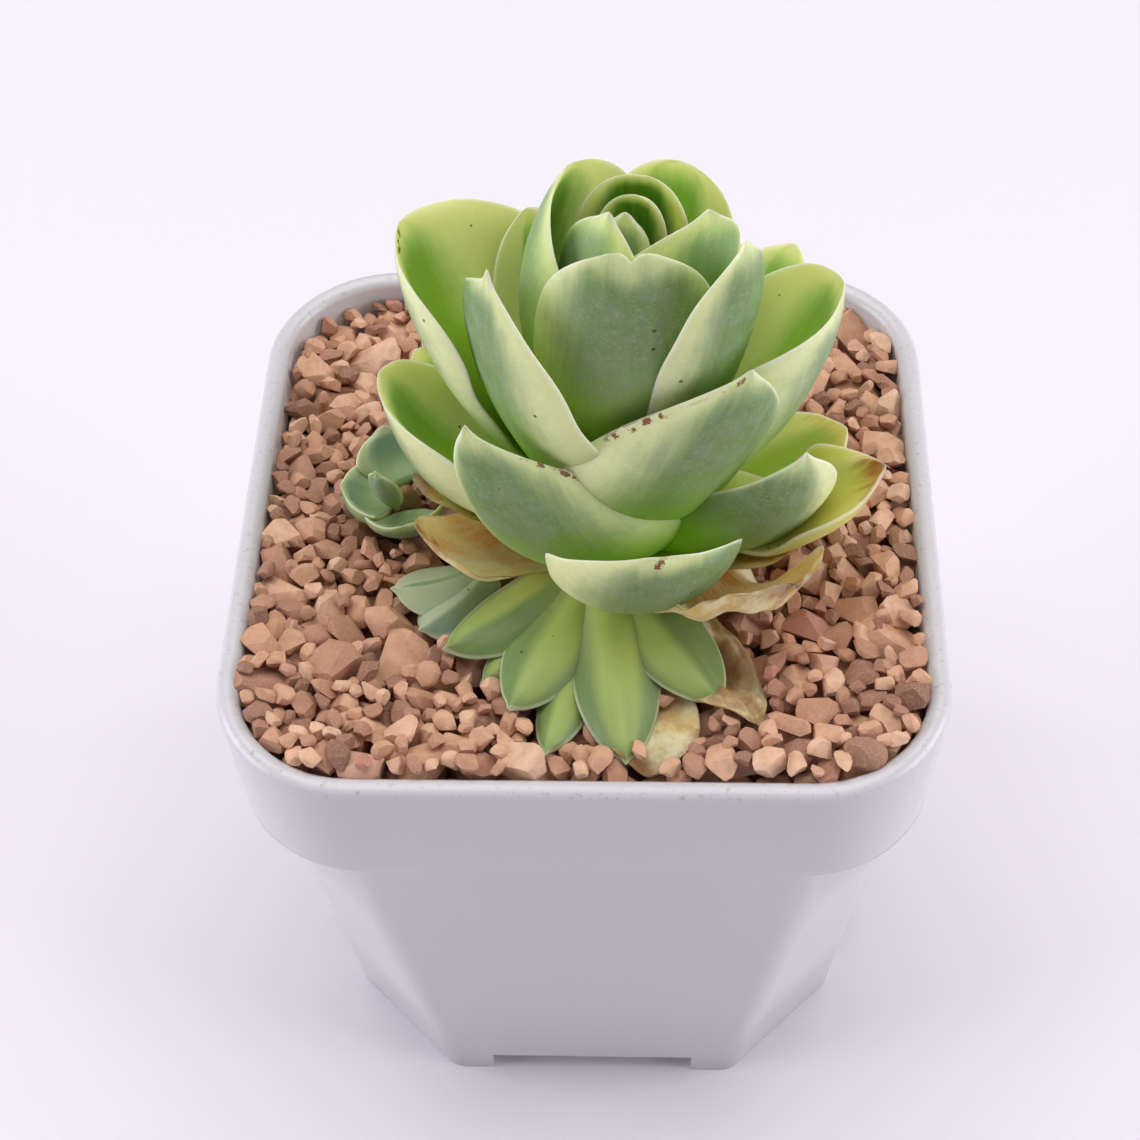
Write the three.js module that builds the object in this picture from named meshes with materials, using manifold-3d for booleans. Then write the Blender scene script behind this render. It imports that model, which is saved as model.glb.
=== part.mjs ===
// A potted succulent: a fleshy rosette with three small offsets, growing in a square nursery pot that is
// topped with baked-clay granules. Millimetres, +Z up, origin on the floor under the middle of the pot,
// +X to the plant's right and -Y towards its front.
//
// Every leaf, living or withered, is a solid of its own, and so are the stems, the soil, the granules and
// the pot. Pieces that touch are cut by a slightly grown copy of their neighbour, which leaves a thin gap.

import * as THREE from "three";
import { mergeVertices } from "three/addons/utils/BufferGeometryUtils.js";
import Module from "manifold-3d";

const wasm = await Module();
wasm.setup();

// ---------------------------------------------------------------------------------------------------------
// Driving dimensions
// ---------------------------------------------------------------------------------------------------------

const CLEARANCE = 0.3; // gap between pieces that touch

const POT_HEIGHT = 68;
const RIM_WIDTH = 70; // across the top, outside
const RIM_CORNER = 13.5; // corner radius at the top
const RIM_WALL = 2.2; // thickness of the rim at the lip
const RIM_BAND = 15.5; // height of the wider band under the lip
const BAND_TAPER = 0.7; // how much narrower, each side, the band is at its lower edge
const SHOULDER = 2.4; // how far the band stands out over the body
const LIP_ROUNDING = 0.9;
const BASE_WIDTH = 56;
const BASE_CHAMFER = 12; // how far a corner's flat face reaches along the sides, at the base
const TOP_CHAMFER = 8; // and under the band
const BASE_EDGE = 3; // rounding of the two edges of the corner's face, at the base
const TOP_EDGE = 7; // and under the band
const BODY_WALL = 1.4;
const FOOT_HEIGHT = 3.5; // the floor of the pot is lifted this much
const FOOT_WALL = 2;
const FOOT_NOTCH_WIDTH = 23; // one notch in the middle of each side lets water run out
const FLOOR_THICKNESS = 1.6;
const DRAIN_HOLE = 5;
const DRAIN_SPACING = 13;
const CORNER_STEPS = 3; // of each half of a corner
const ROUND_REACH = 0.592; // a corner face that reaches this share of its edge rounding is a round corner

const GRAVEL_DEPTH = 10;
const GRAVEL_BELOW_LIP = 3.2; // level of the granules at the middle of the pot
const GRAVEL_RISE = 0.045; // slope of the granules, up towards the front
const GRANULE = 3.4; // mean radius of a granule
const GRANULE_SPACING = 7.4;
const GRANULE_SCATTER = 1.5; // how far a granule strays from its place in the grid, in all

const STEM_RADIUS = 3.2; // main stem where the lowest leaves sit
const STEM_LENGTH = 21; // above the crown's base
const STEM_TIP_RADIUS = 0.6;
const ROOT_DEPTH = 16; // how deep the stem goes into the soil
const OFFSET_STEM_RADIUS = 1.3;

const LEAF_THICKNESS = 2.4;
const BUD_LEAF_THICKNESS = 1.8;
const OFFSET_LEAF_THICKNESS = 1.6;
const WITHERED_THICKNESS = 0.9;
const MARGIN_THICKNESS = 0.5; // of a leaf's edge
const TIP_FALL = 2.3; // how late the width falls off towards the tip
const TIP_THINNING = 0.55; // share of the thickness that is gone at the tip

// Heights that the rest stands on
const gravelLevel = POT_HEIGHT - GRAVEL_BELOW_LIP;
const soilLevel = gravelLevel - GRAVEL_DEPTH;
const crownHeight = POT_HEIGHT; // the lowest leaves of the rosette start level with the lip

// ---------------------------------------------------------------------------------------------------------
// Plants: where each rosette stands, how it leans, and its leaves
// ---------------------------------------------------------------------------------------------------------
// azimuth   direction of the leaf, degrees from +X towards +Y
// root      height of its root on the stem
// reach     distance of its tip from the stem's axis, and rise, the height of the tip
// bulge     how far the midrib bows outwards between the two
// half      greatest half-width
// cup       radius of the hollow across the leaf
// widest    where it is widest, as a share of its length
// blunt     shape of the tip: about 1.2 is pointed, 2 is round
// roll      turn about the midrib, degrees
// lean      how far the tip swings sideways
// base      width at the root, as a share of the greatest width
// sides     what the half-width is multiplied by, clockwise and anticlockwise of the midrib
// arch      how far the margins hang down instead of standing up

const leafDefaults = {
  bulge: 6,
  cup: 9,
  widest: 0.6,
  blunt: 2,
  roll: 0,
  lean: 0,
  base: 0.4,
  sides: [1, 1],
  arch: 0,
};

const rosette = {
  place: [2.5, -5, crownHeight],
  tilt: [-8, 3],
  stemRadius: STEM_RADIUS,
  stemLength: STEM_LENGTH,
  leaves: [
    // the outer ring, nearly lying
    { name: "leaf_front_low", azimuth: 283, root: 3, reach: 19, rise: 15, bulge: 9, half: 11, cup: 11,
      widest: 0.65, base: 0.7 },
    { name: "leaf_left_low", azimuth: 245, root: 3, reach: 15, rise: 22, bulge: 9, half: 12.5, cup: 13,
      widest: 0.5, blunt: 1.3, roll: 8, lean: -8.5, base: 0.7, sides: [0.4, 1.1] },
    { name: "leaf_right_low", azimuth: 329, root: 3, reach: 19.5, rise: 20.5, bulge: 9, half: 8.5,
      widest: 0.5, blunt: 1.3, roll: -35, base: 0.7 },
    { name: "leaf_left_mid", azimuth: 181, root: 5.5, reach: 22.5, rise: 20, bulge: 9, half: 9 },
    { name: "leaf_right_fallen", azimuth: 350, root: 4, reach: 25, rise: 15, half: 7, blunt: 1.5 },
    { name: "leaf_back_low_left", azimuth: 150, root: 3, reach: 23, rise: 14, half: 8 },
    { name: "leaf_back_low", azimuth: 92, root: 3, reach: 23, rise: 15, half: 8.5 },
    { name: "leaf_back_low_right", azimuth: 14, root: 3, reach: 23, rise: 11, half: 7.5 },
    // the middle ring, half upright
    { name: "leaf_front_right", azimuth: 293, root: 6, reach: 14, rise: 30, bulge: 7, half: 12, cup: 12,
      widest: 0.45, blunt: 1.3, lean: 6, base: 0.6, sides: [1, 0.75] },
    { name: "leaf_back_mid_left", azimuth: 112, root: 6, reach: 20, rise: 25, half: 8.5 },
    { name: "leaf_back_mid_right", azimuth: 58, root: 6, reach: 20, rise: 25, half: 8.5 },
    { name: "leaf_back_right", azimuth: 36, root: 6.5, reach: 20, rise: 28, half: 6.5, cup: 10 },
    { name: "leaf_left_tall", azimuth: 165, root: 8, reach: 21.5, rise: 33, half: 12, cup: 10,
      widest: 0.7, base: 0.15, sides: [1.2, 1] },
    { name: "leaf_left_front_tall", azimuth: 216, root: 8.5, reach: 14.5, rise: 37, half: 11.5, cup: 14,
      widest: 0.45, blunt: 1, lean: -0.8, base: 0.5, sides: [1.2, 0.8] },
    { name: "leaf_right_tall", azimuth: 0, root: 7.5, reach: 19.5, rise: 32, bulge: 7, half: 10.5,
      widest: 0.7 },
    { name: "leaf_back_left", azimuth: 130, root: 9, reach: 14.5, rise: 31.5, half: 6.5, cup: 10 },
    { name: "leaf_front_tall", azimuth: 270, root: 12, reach: 9, rise: 41, half: 9.5, cup: 10,
      widest: 0.65 },
    { name: "leaf_right_front_tall", azimuth: 318, root: 11, reach: 12.8, rise: 42, bulge: 5, half: 7.5,
      blunt: 1.3, base: 0.7, sides: [0.85, 1] },
    { name: "leaf_back", azimuth: 66, root: 11, reach: 12, rise: 37.5, half: 8, cup: 10, widest: 0.65,
      blunt: 2.6 },
    // the bud, closed around the heart
    { name: "bud_leaf_left", azimuth: 155, root: 14, reach: 6.5, rise: 41.5, bulge: 9, half: 13.5, cup: 8.5,
      blunt: 2.5 },
    { name: "bud_leaf_right", azimuth: 350, root: 13.5, reach: 8, rise: 39, bulge: 5, half: 6, cup: 8 },
    { name: "bud_leaf_front_left", azimuth: 222, root: 16, reach: 5, rise: 42, bulge: 5, half: 7,
      cup: 7, blunt: 1.35, lean: 2.5 },
    { name: "bud_leaf_front_right", azimuth: 300, root: 16, reach: 7, rise: 42, bulge: 5, half: 8, cup: 8,
      blunt: 1.5, lean: 3.5, sides: [1.25, 1] },
    { name: "bud_leaf_back", azimuth: 80, root: 18, reach: 3.5, rise: 41, bulge: 4, half: 7, cup: 6,
      blunt: 2.6 },
    { name: "heart_leaf_front", azimuth: 250, root: 20, reach: 1.5, rise: 39.5, bulge: 2, half: 3.5,
      cup: 3.5 },
    { name: "heart_leaf_back", azimuth: 80, root: 20, reach: 1.5, rise: 40, bulge: 2.5, half: 4.5, cup: 4,
      blunt: 2.6 },
  ],
};

const frontOffset = {
  place: [2, -9, crownHeight + 2],
  tilt: [0, 0],
  stemRadius: OFFSET_STEM_RADIUS,
  stemLength: 4,
  leaves: [
    { name: "front_offset_leaf_middle", azimuth: 276, root: 3, reach: 21.5, rise: -1.5, bulge: 3, half: 4.5,
      widest: 0.5, blunt: 1.35, base: 0.65, arch: 2.2 },
    { name: "front_offset_leaf_front_left", azimuth: 242, root: 3, reach: 18, rise: 0, bulge: 4, half: 4.5,
      widest: 0.5, blunt: 1.35, base: 0.65, arch: 2.2 },
    { name: "front_offset_leaf_left", azimuth: 213, root: 3, reach: 17.5, rise: 0, bulge: 4, half: 4,
      widest: 0.5, blunt: 1.3, base: 0.65, arch: 2.2 },
    { name: "front_offset_leaf_right", azimuth: 306, root: 3, reach: 18.5, rise: -0.5, bulge: 3, half: 4.5,
      widest: 0.5, blunt: 1.3, base: 0.65, arch: 2.2 },
    { name: "front_offset_leaf_low", azimuth: 256, root: 1, reach: 21.5, rise: -2.5, bulge: 3, half: 3,
      widest: 0.5, blunt: 1.3, base: 0.6, arch: 1.4 },
    { name: "front_offset_leaf_under_left", azimuth: 228, root: 1, reach: 17, rise: -2.5, bulge: 2.5,
      half: 2.6, blunt: 1.3, base: 0.6, arch: 1.2 },
  ],
};

const leftOffset = {
  place: [-18, 0.8, crownHeight - 1],
  tilt: [0, -8],
  stemRadius: OFFSET_STEM_RADIUS,
  stemLength: 3,
  leaves: [
    { name: "left_offset_leaf_left", azimuth: 190, root: 1, reach: 6, rise: 4.5, bulge: 2.2, half: 5,
      cup: 4.5 },
    { name: "left_offset_leaf_front", azimuth: 275, root: 1, reach: 6.5, rise: 4, bulge: 2.2,
      half: 5, cup: 4.5 },
    { name: "left_offset_leaf_back", azimuth: 110, root: 1.5, reach: 6, rise: 5.5, bulge: 2,
      half: 4.6, cup: 4.5 },
    { name: "left_offset_leaf_right", azimuth: 25, root: 1.5, reach: 5, rise: 6, bulge: 1.5, half: 2.6,
      cup: 4 },
    { name: "left_offset_leaf_heart", azimuth: 240, root: 2.5, reach: 3, rise: 8, bulge: 1, half: 1.8,
      cup: 3 },
  ],
};

const lowOffset = {
  place: [-8, -8, crownHeight - 1],
  tilt: [0, 0],
  stemRadius: OFFSET_STEM_RADIUS,
  stemLength: 2.5,
  leaves: [
    { name: "low_offset_leaf_left", azimuth: 195, root: 1.5, reach: 11, rise: 1, bulge: 2, half: 3.2,
      blunt: 1.3, base: 0.5, arch: 1.6 },
    { name: "low_offset_leaf_front", azimuth: 222, root: 1.5, reach: 10.5, rise: 0, bulge: 2, half: 3.2,
      blunt: 1.3, base: 0.5, arch: 1.6 },
  ],
};

// Dry leaves that still hang on the main stem, thin and curled
const witheredLeaves = [
  { name: "withered_leaf_left", azimuth: 203, root: 1.5, reach: 21, rise: 5.5, bulge: 4, half: 6,
    roll: 10, base: 0.6 },
  { name: "withered_leaf_left_stub", azimuth: 184, root: 2, reach: 19, rise: 9, bulge: 3, half: 3,
    base: 0.6 },
  { name: "withered_leaf_right", azimuth: 313, root: 1.5, reach: 24, rise: 5.5, bulge: 2.5, half: 9,
    cup: 14, roll: -18, base: 0.6 },
  { name: "withered_leaf_right_upper", azimuth: 342, root: 1.5, reach: 20, rise: 8, bulge: 4, half: 4.5,
    base: 0.6 },
  { name: "withered_leaf_hanging", azimuth: 303, root: 1, reach: 25.5, rise: -2.5, bulge: 3, half: 4,
    base: 0.6 },
  { name: "withered_leaf_front", azimuth: 281, root: 0.5, reach: 26, rise: -4.5, bulge: 3.5, half: 5,
    widest: 0.75, blunt: 2.5, base: 0.5 },
];

// ---------------------------------------------------------------------------------------------------------
// Materials
// ---------------------------------------------------------------------------------------------------------

const finish = (color, roughness) => new THREE.MeshStandardMaterial({ color, roughness, metalness: 0 });

const materials = {
  pot: finish("#e9e8ef", 0.3),
  soil: finish("#4a3828", 0.95),
  gravel: finish("#c49a7c", 0.9),
  stem: finish("#8f8a5a", 0.7),
  leaf: finish("#9db277", 0.5),
  budLeaf: finish("#a9bd78", 0.5),
  offsetLeaf: finish("#8aa868", 0.5),
  withered: finish("#d2a468", 0.8),
};

// ---------------------------------------------------------------------------------------------------------
// Solids
// ---------------------------------------------------------------------------------------------------------

/** A closed manifold solid from points and the triangles between them. */
function solidFrom(points, triangles) {
  const geometry = new THREE.BufferGeometry();
  geometry.setAttribute("position", new THREE.Float32BufferAttribute(points.flatMap((p) => p.toArray()), 3));
  geometry.setIndex(triangles.flat());
  return solidOf(geometry);
}

/** A closed manifold solid from a three.js geometry. */
function solidOf(geometry) {
  const bare = geometry.clone();
  bare.deleteAttribute("normal");
  bare.deleteAttribute("uv");
  const merged = mergeVertices(bare);
  return new wasm.Manifold(
    new wasm.Mesh({
      numProp: 3,
      vertProperties: new Float32Array(merged.attributes.position.array),
      triVerts: new Uint32Array(merged.index.array),
    }),
  );
}

/** A three.js geometry from a solid, seen from a frame whose placement is given. */
function geometryOf(solid, placement = new THREE.Matrix4()) {
  const mesh = solid.getMesh();
  const geometry = new THREE.BufferGeometry();
  geometry.setAttribute("position", new THREE.Float32BufferAttribute(mesh.vertProperties, 3));
  geometry.setIndex(Array.from(mesh.triVerts));
  geometry.applyMatrix4(placement.clone().invert());
  geometry.computeVertexNormals();
  return geometry;
}

/** The largest body of a solid, so that a cut never leaves crumbs. */
function largestBody(solid) {
  return solid.decompose().reduce((best, body) => (body.volume() > best.volume() ? body : best));
}

/** Skins a stack of rings, each a loop of as many points, with a flat cap at both ends. */
function loft(rings) {
  const count = rings[0].length;
  const points = rings.flat();
  const triangles = [];
  for (let r = 0; r + 1 < rings.length; r += 1) {
    for (let i = 0; i < count; i += 1) {
      const a = r * count + i;
      const b = r * count + ((i + 1) % count);
      triangles.push([a, b, b + count], [a, b + count, a + count]);
    }
  }
  const top = (rings.length - 1) * count;
  for (let i = 1; i + 1 < count; i += 1) {
    triangles.push([0, i + 1, i], [top, top + i, top + i + 1]);
  }
  return solidFrom(points, triangles);
}

/**
 * A level square, anticlockwise. Each corner is cut by a flat face that reaches this far along the sides, and
 * the two edges of that face are rounded.
 */
function cutSquare(width, reach, edge, z) {
  const outer = width / 2;
  const ease = edge * Math.tan(Math.PI / 8);
  const begin = outer - reach - ease;
  const ring = [];
  for (let quarter = 0; quarter < 4; quarter += 1) {
    const turn = new THREE.Matrix4().makeRotationZ((quarter * Math.PI) / 2);
    for (let half = 0; half < 2; half += 1) {
      const centre = half === 0 ? [outer - edge, begin] : [begin, outer - edge];
      for (let step = 0; step <= CORNER_STEPS; step += 1) {
        const angle = ((half + step / CORNER_STEPS) * Math.PI) / 4;
        const x = centre[0] + edge * Math.cos(angle);
        const y = centre[1] + edge * Math.sin(angle);
        ring.push(new THREE.Vector3(x, y, 0).applyMatrix4(turn).setZ(z));
      }
    }
  }
  return ring;
}

/** A level square with plain round corners. */
const roundedSquare = (width, corner, z) => cutSquare(width, ROUND_REACH * corner, corner, z);

function box(width, depth, height, x, y, z) {
  return solidOf(new THREE.BoxGeometry(width, depth, height).translate(x, y, z));
}

// ---------------------------------------------------------------------------------------------------------
// Pot, soil and granules
// ---------------------------------------------------------------------------------------------------------

const bandWidth = RIM_WIDTH - 2 * BAND_TAPER;
const bodyTopWidth = bandWidth - 2 * SHOULDER;
const bandBottom = POT_HEIGHT - RIM_BAND;
const floorTop = FOOT_HEIGHT + FLOOR_THICKNESS;

/** The body's outline at a height, drawn in by an inset. It widens steadily from the foot to the band. */
function bodyRing(z, inset = 0) {
  const share = z / bandBottom;
  const width = BASE_WIDTH + (bodyTopWidth - BASE_WIDTH) * share;
  const reach = BASE_CHAMFER + (TOP_CHAMFER - BASE_CHAMFER) * share;
  const edge = BASE_EDGE + (TOP_EDGE - BASE_EDGE) * share;
  return cutSquare(width - 2 * inset, reach - ROUND_REACH * inset, Math.max(edge - inset, 1), z);
}

/** The space inside the walls, drawn in by a margin, between two heights. */
function insideSpace(margin, bottom, top) {
  const inset = RIM_WALL + margin;
  const rim = roundedSquare(RIM_WIDTH - 2 * inset, RIM_CORNER - inset, 0);
  const level = (z) => {
    if (z <= bandBottom) {
      return bodyRing(z, BODY_WALL + margin);
    }
    const share = Math.min((z - bandBottom) / RIM_BAND, 1);
    return bodyRing(bandBottom, BODY_WALL + margin).map((p, i) => p.lerp(rim[i], share).setZ(z));
  };
  const heights = [bottom, bandBottom, POT_HEIGHT, top].filter((z) => z >= bottom && z <= top);
  return loft([...new Set(heights)].sort((a, b) => a - b).map(level));
}

function makePot() {
  const lipShoulder = POT_HEIGHT - 0.3 * LIP_ROUNDING;
  const outside = loft([
    bodyRing(0),
    bodyRing(bandBottom),
    roundedSquare(bandWidth, RIM_CORNER - BAND_TAPER, bandBottom + 0.2),
    roundedSquare(RIM_WIDTH, RIM_CORNER, POT_HEIGHT - LIP_ROUNDING),
    roundedSquare(RIM_WIDTH - 0.6 * LIP_ROUNDING, RIM_CORNER - 0.3 * LIP_ROUNDING, lipShoulder),
    roundedSquare(RIM_WIDTH - 2 * LIP_ROUNDING, RIM_CORNER - LIP_ROUNDING, POT_HEIGHT),
  ]);
  const hollow = insideSpace(0, floorTop, POT_HEIGHT + 1);
  const underside = loft([bodyRing(-1, FOOT_WALL), bodyRing(FOOT_HEIGHT, FOOT_WALL)]);
  const across = BASE_WIDTH + 4 * SHOULDER;
  let pot = outside
    .subtract(hollow)
    .subtract(underside)
    .subtract(box(FOOT_NOTCH_WIDTH, across, 2 * FOOT_HEIGHT, 0, 0, 0))
    .subtract(box(across, FOOT_NOTCH_WIDTH, 2 * FOOT_HEIGHT, 0, 0, 0));
  for (let column = -1; column <= 1; column += 1) {
    for (let row = -1; row <= 1; row += 1) {
      const hole = new THREE.CylinderGeometry(DRAIN_HOLE / 2, DRAIN_HOLE / 2, 4 * FLOOR_THICKNESS, 12);
      hole.rotateX(Math.PI / 2).translate(column * DRAIN_SPACING, row * DRAIN_SPACING, floorTop);
      pot = pot.subtract(solidOf(hole));
    }
  }
  return pot;
}

const makeSoil = () => insideSpace(CLEARANCE, floorTop + CLEARANCE, soilLevel);

/** A repeatable random number between 0 and 1 for a pair of whole numbers and a purpose. */
function chance(column, row, purpose) {
  const wave = Math.sin(column * 127.1 + row * 311.7 + purpose * 74.7) * 43758.5453;
  return wave - Math.floor(wave);
}

/** A bed of granules: a sloping slab with a layer of angular stones half sunk in its top. */
function makeGravel() {
  const bottom = soilLevel + CLEARANCE;
  const levelAt = (y) => gravelLevel - GRAVEL_RISE * y;
  const space = insideSpace(CLEARANCE, bottom, POT_HEIGHT + 4);
  const slabTop = roundedSquare(RIM_WIDTH, RIM_CORNER, 0).map((p) => p.setZ(levelAt(p.y) - 0.4 * GRANULE));
  const slab = loft([roundedSquare(RIM_WIDTH, RIM_CORNER, bottom), slabTop]).intersect(space);
  const most = Math.floor((RIM_WIDTH / 2 - RIM_WALL - GRANULE) / GRANULE_SPACING);
  const corner = RIM_CORNER - RIM_WALL - GRANULE;
  const straight = RIM_WIDTH / 2 - RIM_WALL - GRANULE - corner;
  const stones = [];
  for (let column = -most; column <= most; column += 1) {
    for (let row = -most; row <= most; row += 1) {
      const x = column * GRANULE_SPACING + (chance(column, row, 1) - 0.5) * GRANULE_SCATTER;
      const y = row * GRANULE_SPACING + (chance(column, row, 2) - 0.5) * GRANULE_SCATTER;
      if (Math.hypot(Math.max(Math.abs(x) - straight, 0), Math.max(Math.abs(y) - straight, 0)) > corner) {
        continue;
      }
      const stone = new THREE.IcosahedronGeometry(GRANULE * (0.85 + 0.3 * chance(column, row, 3)), 0);
      stone.rotateX(2 * Math.PI * chance(column, row, 4)).rotateY(2 * Math.PI * chance(column, row, 5));
      stone.scale(1.1, 0.95, 0.75);
      stone.translate(x, y, levelAt(y) - 0.5 * GRANULE);
      stones.push(solidOf(stone).intersect(space));
    }
  }
  return wasm.Manifold.union([slab, ...stones]);
}

// ---------------------------------------------------------------------------------------------------------
// Stems and leaves
// ---------------------------------------------------------------------------------------------------------

/** Radius of a plant's stem at a height over its crown: full below, slim at the top. */
function stemRadiusAt(plant, height) {
  const share = Math.min(Math.max(height / plant.stemLength, 0), 1);
  const tip = Math.min(STEM_TIP_RADIUS, plant.stemRadius);
  return plant.stemRadius + (tip - plant.stemRadius) * share;
}

function makeStem(plant, grow = 0) {
  const depth = Math.min(ROOT_DEPTH, 5 * plant.stemRadius);
  const profile = [
    [0, -depth - grow],
    [0.35 * plant.stemRadius + grow, -depth - grow],
    [plant.stemRadius + grow, 0],
    [STEM_TIP_RADIUS + grow, plant.stemLength + grow],
    [0, plant.stemLength + grow],
  ].map(([r, z]) => new THREE.Vector2(r, z));
  return solidOf(new THREE.LatheGeometry(profile, 10).rotateX(Math.PI / 2));
}

/** Half-width of a leaf at a share of its length: a quick swell from the root, then the tip. */
function halfWidthAt(leaf, s) {
  const before = Math.min(s / leaf.widest, 1);
  const swell = leaf.base + (1 - leaf.base) * Math.sin((before * Math.PI) / 2);
  const past = Math.max(0, (s - leaf.widest) / (1 - leaf.widest));
  return leaf.half * swell * (1 - past ** TIP_FALL) ** (1 / leaf.blunt);
}

/**
 * A leaf standing on a plant's stem, in the plant's frame. Its midrib is a curve from the root to the tip,
 * and each section across it is an arc with a full middle and thin margins. With grow, it is larger all
 * round.
 */
function makeLeaf(plant, leaf, grow = 0) {
  const rootRadius = stemRadiusAt(plant, leaf.root) + CLEARANCE + leaf.thickness / 2;
  const root = new THREE.Vector2(rootRadius, leaf.root);
  const tip = new THREE.Vector2(leaf.reach, leaf.rise);
  const chord = tip.clone().sub(root);
  const outwards = new THREE.Vector2(chord.y, -chord.x).normalize();
  const bow = root.clone().addScaledVector(chord, 0.5).addScaledVector(outwards, leaf.bulge);
  const midrib = new THREE.QuadraticBezierCurve(root, bow, tip);
  const roll = THREE.MathUtils.degToRad(leaf.roll);
  const turn = THREE.MathUtils.degToRad(leaf.azimuth);

  const toPlant = (radial, sideways, height) =>
    new THREE.Vector3(radial, sideways, height).applyAxisAngle(new THREE.Vector3(0, 0, 1), turn);

  const pointAt = (s, u, lift, along = 0) => {
    const middle = midrib.getPoint(s);
    const tangent = midrib.getTangent(s);
    const width = halfWidthAt(leaf, s);
    const half = width * leaf.sides[u < 0 ? 0 : 1] + grow;
    const angle = (u * half) / leaf.cup;
    const radius = leaf.cup - lift;
    const side = radius * Math.sin(angle);
    const hang = (leaf.arch * Math.abs(u) ** 1.6 * width) / leaf.half;
    const depth = leaf.cup - radius * Math.cos(angle) - hang;
    const acrossLeaf = side * Math.cos(roll) - depth * Math.sin(roll);
    const inwards = side * Math.sin(roll) + depth * Math.cos(roll);
    return toPlant(
      middle.x + tangent.x * along - tangent.y * inwards,
      acrossLeaf + leaf.lean * s * s,
      middle.y + tangent.y * along + tangent.x * inwards,
    );
  };

  const shares = [0, 0.2, 0.42, 0.64, 0.83, 0.96];
  const stations = [-1, -0.5, 0, 0.5, 1];
  const rings = shares.map((s) => {
    const full = leaf.thickness * (1 - TIP_THINNING * s ** 3);
    const lift = (u) => (MARGIN_THICKNESS + (full - MARGIN_THICKNESS) * Math.sqrt(1 - u * u)) / 2 + grow;
    const along = s === 0 ? -grow : 0;
    const outer = stations.map((u) => pointAt(s, u, -lift(u), along));
    const inner = stations.map((u) => pointAt(s, u, lift(u), along)).reverse();
    return [...outer, ...inner];
  });

  const count = rings[0].length;
  const points = rings.flat();
  const triangles = [];
  for (let r = 0; r + 1 < rings.length; r += 1) {
    for (let i = 0; i < count; i += 1) {
      const a = r * count + i;
      const b = r * count + ((i + 1) % count);
      triangles.push([a, b, b + count], [a, b + count, a + count]);
    }
  }
  for (let i = 0; i + 1 < stations.length; i += 1) {
    const across = count - 1 - i;
    triangles.push([i, across - 1, i + 1], [i, across, across - 1]);
  }
  const tipPoint = points.push(pointAt(1, 0, 0, grow)) - 1;
  const last = (rings.length - 1) * count;
  for (let i = 0; i < count; i += 1) {
    triangles.push([last + i, last + ((i + 1) % count), tipPoint]);
  }
  return solidFrom(points, triangles);
}

// ---------------------------------------------------------------------------------------------------------
// Assembly
// ---------------------------------------------------------------------------------------------------------

const succulent = new THREE.Group();

/** Solids already in place, each with a copy grown by the clearance, in the object's frame. */
const placed = [];

/** Cuts a solid by every grown neighbour that it meets. */
function fitAmong(solid, neighbours) {
  const cutters = neighbours.map((piece) => piece.grown).filter((grown) => !solid.intersect(grown).isEmpty());
  return cutters.length === 0 ? solid : largestBody(solid.subtract(wasm.Manifold.union(cutters)));
}

function addPiece(parent, placement, name, solid, material) {
  const mesh = new THREE.Mesh(geometryOf(solid, placement), material);
  mesh.name = name;
  parent.add(mesh);
}

/** Stands a plant's group in the pot. */
function standPlant(plant) {
  const group = new THREE.Group();
  group.position.set(...plant.place);
  group.rotation.set(...plant.tilt.map((angle) => THREE.MathUtils.degToRad(angle)), 0, "YXZ");
  group.updateMatrix();
  succulent.add(group);
  return group;
}

function growLeaves(plant, group, leaves, material, thickness) {
  for (const listed of leaves) {
    const leaf = { ...leafDefaults, thickness, ...listed };
    const whole = makeLeaf(plant, leaf).transform(group.matrix.elements);
    const grown = makeLeaf(plant, leaf, CLEARANCE).transform(group.matrix.elements);
    const solid = fitAmong(whole, placed);
    placed.push({ solid, grown });
    addPiece(group, group.matrix, leaf.name, solid, material);
  }
}

function growStem(plant, group, name) {
  const grown = makeStem(plant, CLEARANCE).transform(group.matrix.elements);
  const solid = fitAmong(makeStem(plant).transform(group.matrix.elements), placed);
  placed.push({ solid, grown });
  addPiece(group, group.matrix, name, solid, materials.stem);
}

const rosetteGroup = standPlant(rosette);
const frontGroup = standPlant(frontOffset);
const leftGroup = standPlant(leftOffset);
const lowGroup = standPlant(lowOffset);

growStem(rosette, rosetteGroup, "main_stem");
growStem(frontOffset, frontGroup, "front_offset_stem");
growStem(leftOffset, leftGroup, "left_offset_stem");
growStem(lowOffset, lowGroup, "low_offset_stem");

const isBud = (leaf) => leaf.name.startsWith("bud") || leaf.name.startsWith("heart");
const outerLeaves = rosette.leaves.filter((leaf) => !isBud(leaf));
const budLeaves = rosette.leaves.filter(isBud);
growLeaves(rosette, rosetteGroup, outerLeaves, materials.leaf, LEAF_THICKNESS);
growLeaves(rosette, rosetteGroup, budLeaves, materials.budLeaf, BUD_LEAF_THICKNESS);
growLeaves(frontOffset, frontGroup, frontOffset.leaves, materials.offsetLeaf, OFFSET_LEAF_THICKNESS);
growLeaves(leftOffset, leftGroup, leftOffset.leaves, materials.offsetLeaf, OFFSET_LEAF_THICKNESS);
growLeaves(lowOffset, lowGroup, lowOffset.leaves, materials.offsetLeaf, OFFSET_LEAF_THICKNESS);
growLeaves(rosette, rosetteGroup, witheredLeaves, materials.withered, WITHERED_THICKNESS);

const inObject = new THREE.Matrix4();
addPiece(succulent, inObject, "pot", makePot(), materials.pot);
addPiece(succulent, inObject, "soil", fitAmong(makeSoil(), placed), materials.soil);
addPiece(succulent, inObject, "gravel_bed", fitAmong(makeGravel(), placed), materials.gravel);

export default succulent;
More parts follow.
